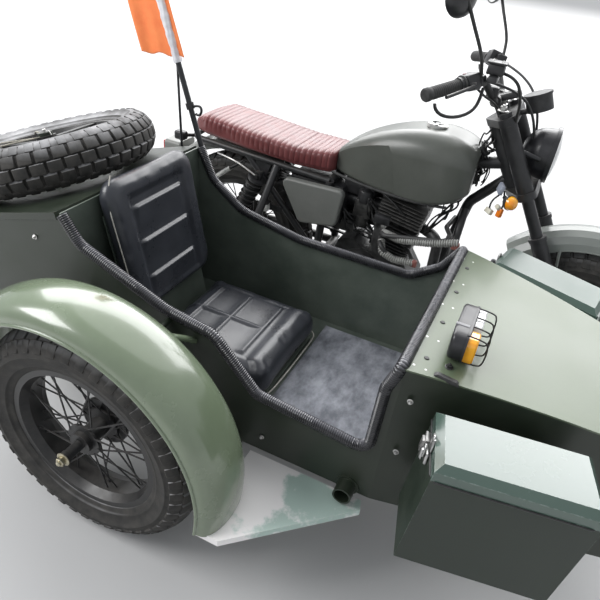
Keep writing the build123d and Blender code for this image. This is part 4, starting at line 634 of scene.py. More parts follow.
oxblood = surface(
    "oxblood_vinyl", (0.125, 0.03, 0.032), (0.19, 0.056, 0.056), scale=18.0, rough=(0.3, 0.42), bump=0.2,
    grain=900.0)
bench = grid("bench_seat_cover", 360, 72)
for vertex in bench.data.vertices:
    ahead, half, low, top = between(BENCH, BENCH[0][0] + (vertex.co.x + 0.5) * (BENCH[-1][0] - BENCH[0][0]))
    turn_at = 2 * pi * (vertex.co.y + 0.5)
    side, rise_at = power(cos(turn_at), 0.45), power(sin(turn_at), 0.45)
    end = min(1.0, min(ahead - BENCH[0][0], BENCH[-1][0] - ahead) / 0.02)
    pinch = 1.0 - 0.3 * (1.0 - sqrt(1.0 - (1.0 - end) ** 2))
    height = (low + top) / 2 + (top - low) / 2 * rise_at * pinch
    skirt = 0.018 + 0.03 * step_up(-ahead, -0.2, 0.34)
    pleated = step_up(height, low + skirt, 0.005) * step_up(end, 0.3, 0.6)
    swell = 0.0042 * pleated * (sqrt(abs(cos(pi * ahead / PLEAT))) - 0.62)
    seam = -0.003 * ridge(height - low - skirt, 0.004)
    vertex.co = spot(ahead, side * (half * pinch + swell + seam), height + swell * max(rise_at, 0.0))
close_up(0.0001, capped=True)
smooth(60)
paint(bench, oxblood)
fit(bench, node="bench_seat")

# Tyres: one block-tread tyre, modelled once and moulded to each rim. Ribbed bead, a
# sidewall with pinch lines, and five staggered rows of worn blocks with sharp grooves.
TYRE_OUTLINE = [
    # radius from the axle, and distance from the middle
    (0.3095, 0.0), (0.3088, 0.018), (0.3055, 0.035), (0.299, 0.05), (0.29, 0.0595), (0.278, 0.0645),
    (0.266, 0.0655), (0.265, 0.0668), (0.2625, 0.0668), (0.261, 0.065), (0.248, 0.062), (0.2365, 0.056),
    (0.235, 0.0566), (0.2325, 0.056), (0.2312, 0.0535), (0.224, 0.049), (0.218, 0.047), (0.215, 0.043),
    (0.219, 0.034), (0.223, 0.015),
]
SPARE_HALF, PATTERN_HALF = 0.0668, 0.0685
SPARE_LEAN = Matrix.Rotation(radians(-19), 4, "Y")
BLOCKS_ROUND = 44
ROWS = [
    # angle off the crown, share of the pitch filled, width across, shift round in pitches
    (-62.0, 0.66, 0.034, 0.15), (-31.0, 0.9, 0.034, 0.55), (0.0, 0.92, 0.033, 0.0), (31.0, 0.9, 0.034, 0.45),
    (62.0, 0.66, 0.034, 0.85),
]
# The pale tint on the tyres' upward faces is partly dust and partly a painted sheen of the sky.
rubber_tyre = surface(
    "tread_rubber", (0.012, 0.012, 0.0115), (0.052, 0.049, 0.045), scale=34.0, rough=(0.72, 0.96), bump=0.35,
    grain=900.0, edge=((0.13, 0.115, 0.1), 0.003, 0.5), dust_and_sheen=((0.42, 0.42, 0.43), 0.9))
clear()
loop = TYRE_OUTLINE + [(radius, -side) for radius, side in reversed(TYRE_OUTLINE[1:])]
bpy.ops.mesh.primitive_torus_add(
    major_segments=132, minor_segments=len(loop), major_radius=1.0, minor_radius=0.3)
carcass = bpy.context.object
carcass.name = "tyre_pattern"
for vertex in carcass.data.vertices:
    out_from = sqrt(vertex.co.x ** 2 + vertex.co.y ** 2)
    round_at = Vector((vertex.co.x, 0.0, vertex.co.y)) / out_from
    radius, side = loop[round(atan2(vertex.co.z, out_from - 1.0) / (2 * pi) * len(loop)) % len(loop)]
    vertex.co = round_at * radius + Vector((0.0, side, 0.0))
close_up()
bpy.ops.object.shade_smooth()


def cut_block(name, size, taper, bevel):
    """One rubber block about the origin: a cube drawn in towards its top, with its edges eased."""
    clear()
    bpy.ops.mesh.primitive_cube_add(size=1.0)
    piece = bpy.context.object
    piece.name = name
    for vertex in piece.data.vertices:
        share = 1.0 - taper if vertex.co.z > 0 else 1.0
        vertex.co = Vector(
            (vertex.co.x * size[0] * share, vertex.co.y * size[1] * share, vertex.co.z * size[2]))
    bpy.ops.object.mode_set(mode="EDIT")
    bpy.ops.mesh.select_all(action="SELECT")
    bpy.ops.mesh.bevel(offset=bevel, segments=2, affect="EDGES")
    bpy.ops.object.mode_set(mode="OBJECT")
    smooth(35)
    return piece


def gather(name, pieces):
    """Joins pieces into the first one, under a name."""
    clear()
    for piece in pieces:
        piece.select_set(True)
    bpy.context.view_layer.objects.active = pieces[0]
    if len(pieces) > 1:
        bpy.ops.object.join()
    pieces[0].name = name
    return pieces[0]


def group(name, pieces, body="chassis", node=None):
    """Joins pieces under a name, and puts the result on its body."""
    return fit(gather(name, pieces), body, node)


def copies(piece, places):
    """The piece's mesh once for each matrix, as new objects; the pattern itself goes away."""
    made = []
    for place in places:
        again = piece.copy()
        again.data = piece.data.copy()
        again.data.transform(place)
        bpy.context.collection.objects.link(again)
        made.append(again)
    bpy.data.objects.remove(piece)
    return made


blocks = []
for lean, fill, wide, shift in ROWS:
    across, tilt = radians(lean), radians(lean * 0.86)
    foot = Vector((0.0, sin(across) * 0.0595, 0.264 + cos(across) * 0.0475))
    long_way = 2 * pi * foot.z / BLOCKS_ROUND * fill
    pattern = cut_block("tyre_block", (long_way, wide, 0.017), 0.1, 0.0022)
    stand = Matrix.Translation(foot) @ Matrix.Rotation(-tilt, 4, "X")
    stands = [
        Matrix.Rotation(2 * pi * (number + shift) / BLOCKS_ROUND, 4, "Y") @ stand
        for number in range(BLOCKS_ROUND)]
    blocks += copies(pattern, stands)
tyre = gather("tyre_pattern", [carcass] + blocks)
paint(tyre, rubber_tyre)


def box_middle(node):
    """The middle of a CAD node's box, and half of its width."""
    low, high = (Vector(corner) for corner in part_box(node))
    return (low + high) / 2, (high.y - low.y) / 2


spare_at = box_middle("spare_tyre")[0]
for node, body in (
        ("front_tyre", "front_wheel"), ("sidecar_tyre", "sidecar_wheel"), ("spare_tyre", "trunk"),
        ("rear_tyre", "rear_wheel")):
    piece = tyre
    if node != "rear_tyre":
        piece = tyre.copy()
        piece.data = tyre.data.copy()
        bpy.context.collection.objects.link(piece)
    centre, half = box_middle(node)
    place = Matrix.Translation(centre)
    if node == "spare_tyre":
        place, half = place @ SPARE_LEAN @ Matrix.Rotation(pi / 2, 4, "X"), SPARE_HALF
    piece.data.transform(place @ Matrix.Diagonal((1.0, half / PATTERN_HALF, 1.0, 1.0)))
    piece.name = node + "_tread"
    fit(piece, body, node)

# Sidecar fender: one pressed steel trough round the wheel, its lips rolled over a wire,
# on two tube arms from the tub's side.
CAR_AXLE = (0.26, -1.224, 0.32)
CAR_FENDER = {"crown": 0.4145, "lip": 0.3645, "half": 0.088, "first": -9.0, "last": 172.0}


def trough(name, axle, crown, lip, half, first, last, bead, sheet):
    """A fender from the angle first to last round its axle, from ahead over the top."""
    shell = grid(name, 150, 40)
    for vertex in shell.data.vertices:
        turn_at = radians(first + (last - first) * (vertex.co.x + 0.5))
        section_at = pi * (vertex.co.y + 0.5)
        radius = lip + (crown - lip) * power(sin(section_at), 0.8)
        vertex.co = spot(
            axle[0] + radius * cos(turn_at), axle[1] + half * power(cos(section_at), 0.92),
            axle[2] + radius * sin(turn_at))
    close_up()
    change(shell, "SOLIDIFY", thickness=sheet, offset=-1.0)
    smooth(40)
    pieces = [shell]
    for side in (-1, 1):
        points = []
        for number in range(25):
            turn_at = radians(first + (last - first) * number / 24)
            points.append(
                spot(axle[0] + lip * cos(turn_at), axle[1] + side * half, axle[2] + lip * sin(turn_at)))
        pieces.append(line(name + "_bead", points, bead))
    return gather(name, pieces)


fender = [trough("sidecar_fender_shell", CAR_AXLE, bead=0.0046, sheet=0.003, **CAR_FENDER)]
ARM_ROUTE = ((-1.028, 0.556), (-1.08, 0.6), (-1.14, 0.644))
for x in (-0.17, 0.17):
    fender.append(line("fender_arm", [spot(CAR_AXLE[0] + x, y, z) for y, z in ARM_ROUTE], 0.009))
fender_paint = surface(
    "fender_gloss_paint", (0.12, 0.155, 0.098), (0.155, 0.195, 0.128), scale=4.0, rough=(0.2, 0.3),
    bump=0.02, grain=700.0, coat=0.8, edge=((0.36, 0.4, 0.33), 0.002, 0.5))
paint(group("sidecar_fender_shell", fender, node="sidecar_fender"), fender_paint)

# Fixings of the tub and hood: zinc hex bolts on washers, black round heads and zinc
# rivets, each turned once and set down wherever the sheets are held.
def turned(name, outline, sides, finish, place=None):
    """A round piece about Z from (radius, height) points, closed on the axis, then put in its place."""
    piece = grid(name, sides, len(outline) - 1)
    for vertex in piece.data.vertices:
        radius, height = outline[round((vertex.co.y + 0.5) * (len(outline) - 1))]
        turn_at = 2 * pi * (vertex.co.x + 0.5)
        vertex.co = Vector((radius * cos(turn_at), radius * sin(turn_at), height))
    close_up(0.00002)
    smooth(35)
    if place:
        piece.data.transform(place)
    return paint(piece, finish)


def facing(place, way, spin=0.0):
    """Stands a piece made about Z at a place, pointing a way."""
    turn = Vector(way).to_track_quat("Z", "Y").to_matrix().to_4x4()
    return Matrix.Translation(place) @ turn @ Matrix.Rotation(spin, 4, "Z")


def hex_bolt(size, finish):
    """A hex head on a washer about Z; size is across the flats."""
    parts = []
    for sides, outline in (
            (24, ((0.0, 0.0), (0.85, 0.0), (0.85, 0.1), (0.78, 0.14), (0.0, 0.14))),
            (6, ((0.0, 0.12), (0.55, 0.12), (0.57, 0.2), (0.57, 0.6), (0.5, 0.68), (0.0, 0.68))),
            (16, ((0.0, 0.66), (0.28, 0.66), (0.28, 0.86), (0.22, 0.92), (0.0, 0.92)))):
        parts.append(
            turned("bolt", [(radius * size, height * size) for radius, height in outline], sides, finish))
    return gather("hex_bolt", parts)


def place_all(name, pattern, places, body="chassis"):
    """Sets a small part down at each place, as one piece on a body."""
    return group(name, copies(pattern, places), body)


bolt_zinc = surface(
    "zinc_bolt", (0.42, 0.42, 0.42), (0.66, 0.65, 0.62), scale=90.0, rough=(0.25, 0.45), metallic=1.0,
    bump=0.05)
black_screw = surface("black_screw", (0.01, 0.01, 0.01), (0.03, 0.03, 0.03), scale=90.0, rough=(0.35, 0.5))
TUB_SIDE = -1.0305
SIDE_BOLTS = [
    (0.975, 0.63), (0.977, 0.472), (0.64, 0.33), (0.115, 0.335), (-0.3, 0.335), (-0.3, 0.69), (-0.06, 0.69)]
for side, face in ((-1, TUB_SIDE), (1, 2 * TUB_Y - TUB_SIDE)):
    name = "tub_bolts_right" if side < 0 else "tub_bolts_left"
    places = [facing(spot(x, face, z), (0, side, 0), x) for x, z in SIDE_BOLTS]
    place_all(name, hex_bolt(0.0085, bolt_zinc), places)
HOOD_REAR = (0.976, 0.7035)
SCREWS_ACROSS, RIVETS_ACROSS = (-0.248, -0.095, 0.06, 0.202), (-0.286, -0.172, -0.018, 0.11, 0.25)
screw = turned(
    "screw", [(0.0, 0.0), (0.0065, 0.0), (0.0065, 0.001), (0.005, 0.0032), (0.0, 0.004)], 20, black_screw)
places = [at(HOOD_REAR[0], TUB_Y + y, HOOD_REAR[1]) for y in SCREWS_ACROSS]
place_all("hood_screws", screw, places)
rivet = turned(
    "rivet", [(0.0, 0.0), (0.004, 0.0), (0.0036, 0.0012), (0.002, 0.002), (0.0, 0.0022)], 16, bolt_zinc)
places = [
    at(HOOD_REAR[0] + x, TUB_Y + y, HOOD_REAR[1] + z)
    for y in RIVETS_ACROSS for x, z in ((0.008, -0.001), (-0.019, 0.0012))]
place_all("hood_rivets", rivet, places)

# Hood lamp: a black moulded housing with a clear lens and an amber one, behind four wire
# loops, on a bent bracket that is bolted through the hood.
LAMP_LOW, LAMP_HIGH = -0.955, -0.765
LAMP_X, LAMP_Z = 1.03, 0.746
lamp_black = surface(
    "lamp_housing", (0.01, 0.01, 0.012), (0.024, 0.024, 0.028), rough=(0.3, 0.44), bump=0.05, coat=0.1)


def pill(name, low, high, rear, front, tall, finish, round_by=0.5):
    """A closed shell along Y with rounded ends and corners, from a subdivided cube."""
    clear()
    bpy.ops.mesh.primitive_cube_add(size=2.0)
    piece = bpy.context.object
    piece.name = name
    bpy.ops.object.mode_set(mode="EDIT")
    bpy.ops.mesh.select_all(action="SELECT")
    bpy.ops.mesh.subdivide(number_cuts=11)
    bpy.ops.object.mode_set(mode="OBJECT")
    for vertex in piece.data.vertices:
        x, y, z = vertex.co
        flat = (abs(y) ** 6 + abs(z) ** 4) ** 0.2
        squeeze = 1.0 if flat < 1.0 else 1.0 / flat
        ease = 1.0 - round_by * 0.22 * max(0.0, abs(x)) ** 8
        vertex.co = spot(
            (rear + front) / 2 + x * (front - rear) / 2,
            (low + high) / 2 + y * (high - low) / 2 * squeeze * ease, LAMP_Z + z * tall / 2 * squeeze * ease)
    smooth(40)
    return paint(piece, finish)


housing = pill("hood_lamp_housing", LAMP_LOW, LAMP_HIGH, LAMP_X - 0.022, LAMP_X + 0.02, 0.08, lamp_black)
rim = pill(
    "rim", LAMP_LOW - 0.002, LAMP_HIGH + 0.002, LAMP_X + 0.012, LAMP_X + 0.018, 0.084, lamp_black, 0.0)
band_grey = surface("lamp_band", (0.1, 0.1, 0.11), (0.2, 0.2, 0.21), scale=40.0, rough=(0.3, 0.5))
strap = pill(
    "strap", LAMP_LOW + 0.052, LAMP_LOW + 0.07, LAMP_X - 0.0235, LAMP_X + 0.01, 0.083, band_grey, 0.0)
foot = cut_block("foot", (0.03, 0.15, 0.026), 0.25, 0.003)
foot.data.transform(at(LAMP_X, (LAMP_LOW + LAMP_HIGH) / 2, LAMP_Z - 0.048))
paint(foot, lamp_black)
LAMP_LOOP = ((0.012, 0.04), (0.05, 0.04), (0.066, 0.03), (0.066, -0.03), (0.05, -0.038), (0.012, -0.038))
loops = []
for y in (-0.935, -0.888, -0.84, -0.793):
    loops.append(
        line("loop", [spot(LAMP_X + x, y, LAMP_Z + z) for x, z in LAMP_LOOP], 0.0021, black_screw, sides=3))
housing = gather("hood_lamp_housing", [housing, rim, strap, foot] + loops)
pivot = spot(LAMP_X, LAMP_LOW + 0.012, LAMP_Z - 0.044)
slim = Matrix.Translation(pivot) @ Matrix.Diagonal((0.88, 0.84, 0.88, 1.0)) @ Matrix.Translation(-pivot)
housing.data.transform(slim)
fit(housing, node="hood_lamp")
clear_glass = surface(
    "ribbed_clear_lens", (0.55, 0.56, 0.56), (0.78, 0.78, 0.77), rough=(0.05, 0.15), bump=0.4, grain=60.0,
    coat=0.8, stretch=(0.2, 3.0, 0.2))
amber_glass = surface(
    "ribbed_amber_lens", (0.9, 0.3, 0.01), (1.0, 0.55, 0.03), rough=(0.06, 0.15), bump=0.4, grain=60.0,
    coat=0.8, stretch=(0.2, 3.0, 0.2))
lens_far = pill(
    "hood_lamp_glass", -0.888, LAMP_HIGH - 0.006, LAMP_X + 0.01, LAMP_X + 0.04, 0.07, clear_glass)
lens_near = pill("near", LAMP_LOW + 0.006, -0.89, LAMP_X + 0.01, LAMP_X + 0.042, 0.07, amber_glass)
glass = gather("hood_lamp_glass", [lens_far, lens_near])
glass.data.transform(slim)
fit(glass, node="hood_lamp_lens")
place_all(
    "hood_lamp_bolt", hex_bolt(0.011, black_screw),
    [at(LAMP_X - 0.004, -0.962, 0.7005), at(LAMP_X, -0.782, 0.7005)])
wedge = cut_block("hood_edge_wedge", (0.06, 0.016, 0.009), 0.3, 0.002)
wedge.data.transform(at(1.03, -1.003, 0.7015) @ Matrix.Rotation(radians(6), 4, "Y"))
paint(wedge, black_screw)
fit(wedge)

# Handlebar: ribbed rubber grips with flanges and bar-end caps, switch housings clamped
# beside them, a brake reservoir on the right, and a loop of lever below each grip.
moulding = surface(
    "black_moulding", (0.012, 0.012, 0.013), (0.03, 0.03, 0.032), scale=50.0, rough=(0.3, 0.5), bump=0.15,
    grain=900.0)


def block_at(size, place, way=(0.0, 0.0, 1.0), spin=0.0, finish=moulding, taper=0.08, bevel=0.003):
    """An eased block centred at a place, its Z turned to a way."""
    piece = cut_block("block", size, taper, bevel)
    piece.data.transform(facing(place, way, spin))
    return paint(piece, finish)


grip_rubber = surface(
    "grip_rubber", (0.016, 0.016, 0.016), (0.05, 0.05, 0.05), scale=60.0, rough=(0.55, 0.8), bump=0.3)
LEVER_LOOP = [
    (0.85, 0.205, 1.108), (0.852, 0.222, 1.07), (0.838, 0.255, 1.044), (0.806, 0.3, 1.034),
    (0.774, 0.334, 1.04), (0.754, 0.35, 1.058), (0.752, 0.352, 1.072)]
GRIP_IN, GRIP_OUT = (0.7965, 0.2525, 1.1155), (0.7245, 0.3735, 1.0925)
outline = [(0.0, 0.0), (0.0235, 0.0), (0.024, 0.004), (0.0185, 0.006)]
for number in range(17):
    outline += [
        (0.0178, 0.009 + 0.0068 * number), (0.0166, 0.0115 + 0.0068 * number),
        (0.0166, 0.0135 + 0.0068 * number)]
outline += [(0.0178, 0.1265), (0.019, 0.13), (0.019, 0.14), (0.0165, 0.144), (0.0, 0.145)]
grip_parts, control_parts = [], []
for side in (1, -1):
    inner = spot(GRIP_IN[0], side * GRIP_IN[1], GRIP_IN[2])
    way = spot(GRIP_OUT[0], side * GRIP_OUT[1], GRIP_OUT[2]) - inner
    grip_parts.append(turned("grip", outline, 28, grip_rubber, facing(inner, way)))
    near = inner - way.normalized() * 0.026
    control_parts += [
        block_at((0.054, 0.05, 0.046), near, way, 0.3, moulding, 0.12, 0.007),
        block_at((0.016, 0.01, 0.01), near + Vector((-0.014, 0.0, 0.016)), (0, 0, 1), 0.2, oxblood, 0.1,
            0.002),
        block_at((0.012, 0.012, 0.008), near + Vector((-0.022, side * 0.008, 0.006)), (-1, 0, 0.4), 0.2,
            band_grey),
        block_at((0.034, 0.03, 0.02), inner - way.normalized() * 0.056 + Vector((0.01, 0.0, 0.0)), way, 0.2,
            moulding),
    ]
    control_parts.append(line("lever_loop", spots(*LEVER_LOOP, side=side), 0.0048, black_screw))
reservoir = spot(0.868, -0.176, 1.158)
control_parts += [
    block_at((0.05, 0.04, 0.03), reservoir, bevel=0.005),
    block_at((0.056, 0.046, 0.006), reservoir + Vector((0.0, 0.0, 0.018)), taper=0.02, bevel=0.002),
    block_at((0.03, 0.06, 0.018), reservoir + Vector((0.0, -0.016, -0.024)), bevel=0.005),
    block_at((0.036, 0.03, 0.034), spot(0.868, -0.085, 1.078), bevel=0.006),
    block_at((0.04, 0.09, 0.022), spot(0.905, 0.0, 1.058), (-0.42, 0, 0.9), bevel=0.006),
    line("brake_hose", spots((0.88, -0.168, 1.15), (0.93, -0.18, 1.15), (0.96, -0.15, 1.08),
        (0.958, -0.1, 1.0), (0.975, -0.085, 0.9)), 0.0045, black_screw),
]
for side in (-1, 1):
    control_parts.append(
        line("switch_lead", spots((0.838, 0.205, 1.1), (0.85, 0.15, 1.075), (0.885, 0.095, 1.05),
            (0.93, 0.06, 0.99), (0.96, 0.05, 0.93), side=side), 0.0036, black_screw))
for x in (-0.014, 0.014):
    for y in (-0.01, 0.01):
        screw = turned(
            "screw", [(0.0, 0.0), (0.003, 0.0), (0.0026, 0.002), (0.0, 0.0024)], 12, bolt_zinc,
            Matrix.Translation(reservoir + Vector((x, y, 0.021))))
        control_parts.append(screw)
group("handlebar_grips", grip_parts, "steering", "grips")
group("handlebar_controls", control_parts, "steering")

# Steering head: zinc-plated steel nuts, screwed down over the upper yoke on the ends of
# the fork tubes and the stem.
place_all(
    "yoke_nuts", hex_bolt(0.02, bolt_zinc),
    [at(x, y, 1.0325) for x, y in ((0.898, 0.0), (0.913, -0.092), (0.913, 0.092))], "steering")

# Mirrors: round glasses in moulded black shells, on bent steel stalks from the lever
# perches, turned in towards the rider.
mirror_glass = surface(
    "mirror_glass", (0.7, 0.7, 0.7), (0.8, 0.8, 0.8), rough=(0.02, 0.05), metallic=1.0, bump=0.0)
mirror_parts = []
for side in (1, -1):
    back = Vector((0.8, side * 0.58, 0.05)).normalized()
    head = spot(0.742, side * 0.281, 1.33)
    shell = turned(
        "shell", [(0.0, 0.026), (0.02, 0.0245), (0.038, 0.018), (0.05, 0.007), (0.053, -0.002),
            (0.0515, -0.005), (0.049, -0.005), (0.048, -0.003), (0.0, -0.003)], 40, lamp_black,
        facing(head, back))
    glass = turned(
        "glass", [(0.0, -0.0025), (0.0478, -0.0025), (0.0478, -0.0038), (0.0, -0.004)], 40, mirror_glass,
        facing(head, back))
    stalk = line(
        "stalk", spots((0.838, 0.212, 1.126), (0.836, 0.236, 1.16), (0.826, 0.246, 1.2),
            (0.78, 0.272, 1.285), side=side) + [head + back * 0.022], 0.005, black_screw)
    mirror_parts += [shell, glass, stalk]
group("round_mirrors", mirror_parts, "steering", "mirrors")

# Front turn signals: amber domes on black stalks under the lower yoke, with their lead
# connectors left hanging behind them.
signal_parts = []
blue_wire = surface("grey_blue_plug", (0.2, 0.22, 0.28), (0.38, 0.41, 0.48), scale=60.0)
amber = surface("amber_lens", (0.75, 0.16, 0.01), (0.9, 0.25, 0.02), rough=(0.15, 0.25), bump=0.02)
white_plug = surface("nylon_plug", (0.55, 0.52, 0.42), (0.75, 0.72, 0.6), scale=60.0)
for side in (1, -1):
    centre, way = spot(1.02, side * 0.156, 0.782), (0.75, side * 0.6, 0.12)
    dome = turned(
        "dome", [(0.0, 0.026), (0.01, 0.0245), (0.018, 0.019), (0.0225, 0.008), (0.0225, 0.0), (0.0, 0.0)],
        28, amber_glass, facing(centre, way))
    cup = turned(
        "cup", [(0.0, -0.02), (0.012, -0.018), (0.02, -0.008), (0.024, 0.0), (0.024, 0.004), (0.0, 0.004)],
        28, moulding, facing(centre, way))
    stem = line(
        "stem", spots((1.0, 0.112, 0.779), (1.008, 0.13, 0.78), side=side) + [centre], 0.007, moulding)
    signal_parts += [dome, cup, stem]
group("round_signals", signal_parts, "steering", "front_signals")
plugs = [
    block_at((0.044, 0.014, 0.03), spot(0.98, -0.1, 0.8), (0.2, 0, 1), 0.3, blue_wire),
    block_at((0.03, 0.016, 0.018), spot(0.966, -0.104, 0.718), (0.3, 0.2, 1), 0.2, white_plug),
    block_at((0.022, 0.014, 0.014), spot(0.99, -0.104, 0.738), (0.5, 0.2, 1), 0.2, white_plug),
    block_at((0.018, 0.016, 0.03), spot(1.0, -0.106, 0.722), (0.1, 0.1, 1), 0.2, amber),
    line("plug_lead", spots((0.99, -0.06, 0.79), (0.985, -0.095, 0.78), (0.96, -0.104, 0.75),
        (0.966, -0.104, 0.72)), 0.003, black_screw),
    line("plug_lead_ahead", spots((0.992, -0.06, 0.78), (1.0, -0.095, 0.765), (1.004, -0.108, 0.745),
        (1.0, -0.106, 0.724)), 0.003, black_screw),
]
group("signal_plugs", plugs, "steering")
dress(moulding, "rear_signals", "gauge")
dress(lamp_black, "headlamp")

# Flag: orange nylon sewn to a white sleeve, which is pulled down over the leaning pole,
# above the pole's two moulded rings and its hook.
flag_orange = surface(
    "flag_orange", (0.86, 0.2, 0.055), (0.92, 0.27, 0.085), scale=26.0, rough=(0.6, 0.8), bump=0.3,
    grain=1500.0)
flag_white = surface(
    "flag_white", (0.62, 0.62, 0.66), (0.8, 0.8, 0.82), scale=24.0, rough=(0.6, 0.8), bump=0.5, grain=900.0)
POLE_Y, POLE_LEAN, RING_UP = -0.391, 0.361, 0.905
POLE_WAY = (-POLE_LEAN, 0.0, 1.0)


def pole_x(height):
    return 0.076 - POLE_LEAN * (height - 0.66)


FLAG_LOW, FLAG_HIGH, FLAG_REACH = 1.047, 1.4, 0.128
flag = grid("orange_flag", 48, 90)
for vertex in flag.data.vertices:
    share, height = vertex.co.x + 0.5, FLAG_LOW + (vertex.co.y + 0.5) * (FLAG_HIGH - FLAG_LOW)
    out = 0.03 - (FLAG_REACH + 0.03) * share
    hang = 0.5 + 0.5 * (FLAG_HIGH - height) / (FLAG_HIGH - FLAG_LOW)
    wave = 0.0055 * abs(out) / FLAG_REACH * hang * sin(9.0 * share * pi / 2 + 9.0 * height)
    sag = 0.012 * share * share
    vertex.co = spot(
        pole_x(height) + out, POLE_Y + wave, height - sag * (0.4 + 0.6 * hang) + 0.004 * sin(14.0 * share))
change(flag, "SOLIDIFY", thickness=0.0007)
bpy.ops.object.shade_smooth()
paint(flag, flag_orange)
sleeve_outline = [
    (0.0135 + 0.0009 * sin(43.0 * share) + 0.0007 * sin(97.0 * share), 0.392 * share)
    for share in (number / 60 for number in range(61))]
sleeve = turned("flag_sleeve", [(0.0095, 0.001)] + sleeve_outline + [(0.0095, 0.391)], 40, flag_white)
for vertex in sleeve.data.vertices:
    turn_at = atan2(vertex.co.y, vertex.co.x)
    slow, fast = sin(3.0 * turn_at + 30.0 * vertex.co.z), sin(7.0 * turn_at - 55.0 * vertex.co.z)
    grow = 1.0 + 0.07 * slow + 0.04 * fast
    vertex.co.x *= grow
    vertex.co.y *= grow
sleeve.data.transform(facing(spot(pole_x(1.03), POLE_Y, 1.03), POLE_WAY))
fit(sleeve)
fit(flag, node="flag")
place_all(
    "pole_ring", turned("ring", [(0.0105, -0.01), (0.0135, -0.01), (0.0135, 0.01), (0.0105, 0.01),
        (0.0105, -0.01)], 28, moulding),
    [facing(spot(pole_x(z), POLE_Y, z), POLE_WAY) for z in (RING_UP, 0.72)])
HOOK = ((0.01, 0.905), (0.035, 0.915), (0.046, 0.9), (0.036, 0.878), (0.022, 0.884))
line(
    "pole_hook", [spot(pole_x(RING_UP) + x, POLE_Y, z) for x, z in HOOK], 0.0042, moulding, "chassis")

# Engine bay: black air box behind the side covers, cast carburettor with its rubber boot,
# cooling fins on the head, and an ignition lead pushed on to its plug.
alloy_dark = surface(
    "cast_alloy_dark", (0.02, 0.02, 0.02), (0.07, 0.068, 0.064), scale=55.0, rough=(0.4, 0.65), bump=0.3,
    grain=380.0, edge=((0.4, 0.39, 0.37), 0.0015, 0.7))
bay = [
    block_at((0.235, 0.205, 0.15), spot(0.345, 0.0, 0.575), bevel=0.012),
    block_at((0.27, 0.012, 0.19), spot(0.545, 0.06, 0.56), bevel=0.005),
    block_at((0.13, 0.12, 0.06), spot(0.5, 0.0, 0.65), bevel=0.01),
    block_at((0.07, 0.066, 0.07), spot(0.53, -0.045, 0.58), finish=alloy_dark, bevel=0.008),
    block_at((0.09, 0.11, 0.05), spot(0.47, -0.03, 0.5), finish=alloy_dark, bevel=0.01),
    line("boot", spots((0.45, -0.02, 0.59), (0.52, -0.03, 0.586), (0.6, -0.01, 0.59)), 0.028, moulding),
    line("spark_lead", spots((0.7, -0.062, 0.6), (0.69, -0.11, 0.62), (0.64, -0.105, 0.66),
        (0.58, -0.08, 0.672)), 0.0042, black_screw),
]
bowl = turned(
    "bowl", [(0.0, 0.0), (0.022, 0.0), (0.03, 0.01), (0.03, 0.046), (0.0, 0.046)], 28, alloy_dark,
    at(0.53, -0.05, 0.505))
cap = turned(
    "cap", [(0.0, 0.062), (0.014, 0.062), (0.016, 0.058), (0.016, 0.05), (0.026, 0.046), (0.03, 0.04),
        (0.03, 0.0), (0.0, 0.0)], 28, moulding, at(0.53, -0.05, 0.604))
fin = cut_block("fin", (0.18, 0.17, 0.0036), 0.0, 0.0016)
paint(fin, alloy_dark)
FIN_HEIGHTS = (0.572, 0.5845, 0.597, 0.6095, 0.622, 0.6345, 0.647)
places = [facing(spot(0.65 + 0.158 * (z - 0.424), 0.0, z), (0.156, 0.0, 0.988)) for z in FIN_HEIGHTS]
fins = copies(fin, places)
group("engine_bay_fittings", bay + [bowl, cap] + fins)

# Small parts on the frame: springs on the rear shocks, a strut, a brake fluid cup on its
# bracket, and the rubber edging under the tank.
def coil(name, top, foot, radius, turns, wire, finish):
    """A spring wound round the line from its top to its foot."""
    axis = foot - top
    turn = axis.to_track_quat("Z", "Y").to_matrix()
    points = []
    for number in range(turns * 10 + 1):
        turn_at = 2 * pi * number / 10
        points.append(
            top + turn @ Vector((radius * cos(turn_at), radius * sin(turn_at), 0.0))
            + axis * (number / (turns * 10)))
    return line(name, points, wire, finish, sides=2)


springs = []
for side in (1, -1):
    top, foot = spots((0.124, 0.148, 0.612), (0.042, 0.148, 0.425), side=side)
    springs.append(coil("spring", top, foot, 0.031, 9, 0.0044, black_screw))
    for place, radius in ((top, 0.034), (foot, 0.036)):
        seat = turned(
            "seat", [(0.0, -0.006), (radius, -0.006), (radius + 0.002, 0.0), (radius, 0.006), (0.0, 0.006)],
            32, moulding, facing(place, foot - top))
        springs.append(seat)
group("rear_shock_springs", springs)
cup_white = surface("fluid_cup", (0.5, 0.5, 0.48), (0.72, 0.72, 0.7), scale=40.0, rough=(0.25, 0.4))
small = [
    line("strut", spots((-0.078, -0.12, 0.552), (-0.045, -0.135, 0.582), (0.004, -0.138, 0.62)), 0.0095,
        bolt_zinc),
    line("strut_rod", spots((-0.004, -0.138, 0.614), (0.024, -0.138, 0.634), (0.05, -0.132, 0.655)), 0.0055,
        black_screw),
    block_at((0.034, 0.03, 0.032), spot(0.169, -0.15, 0.512), finish=cup_white, bevel=0.005),
    block_at((0.038, 0.034, 0.008), spot(0.169, -0.15, 0.532), bevel=0.003),
    block_at((0.07, 0.006, 0.024), spot(0.2, -0.134, 0.508), bevel=0.002),
    line("fluid_hose", spots((0.169, -0.15, 0.496), (0.16, -0.15, 0.46), (0.18, -0.14, 0.42),
        (0.23, -0.12, 0.39)), 0.0042, black_screw),
    line("seat_wire", spots((-0.06, -0.128, 0.66), (0.0, -0.15, 0.665), (0.07, -0.156, 0.65),
        (0.122, -0.16, 0.628)), 0.0034, bolt_zinc),
]
group("frame_small_parts", small)
line(
    "tank_edging", spots((0.405, -0.112, 0.706), (0.48, -0.126, 0.698), (0.6, -0.131, 0.69),
        (0.74, -0.13, 0.684), (0.83, -0.112, 0.69)), 0.005, grip_rubber, "chassis")

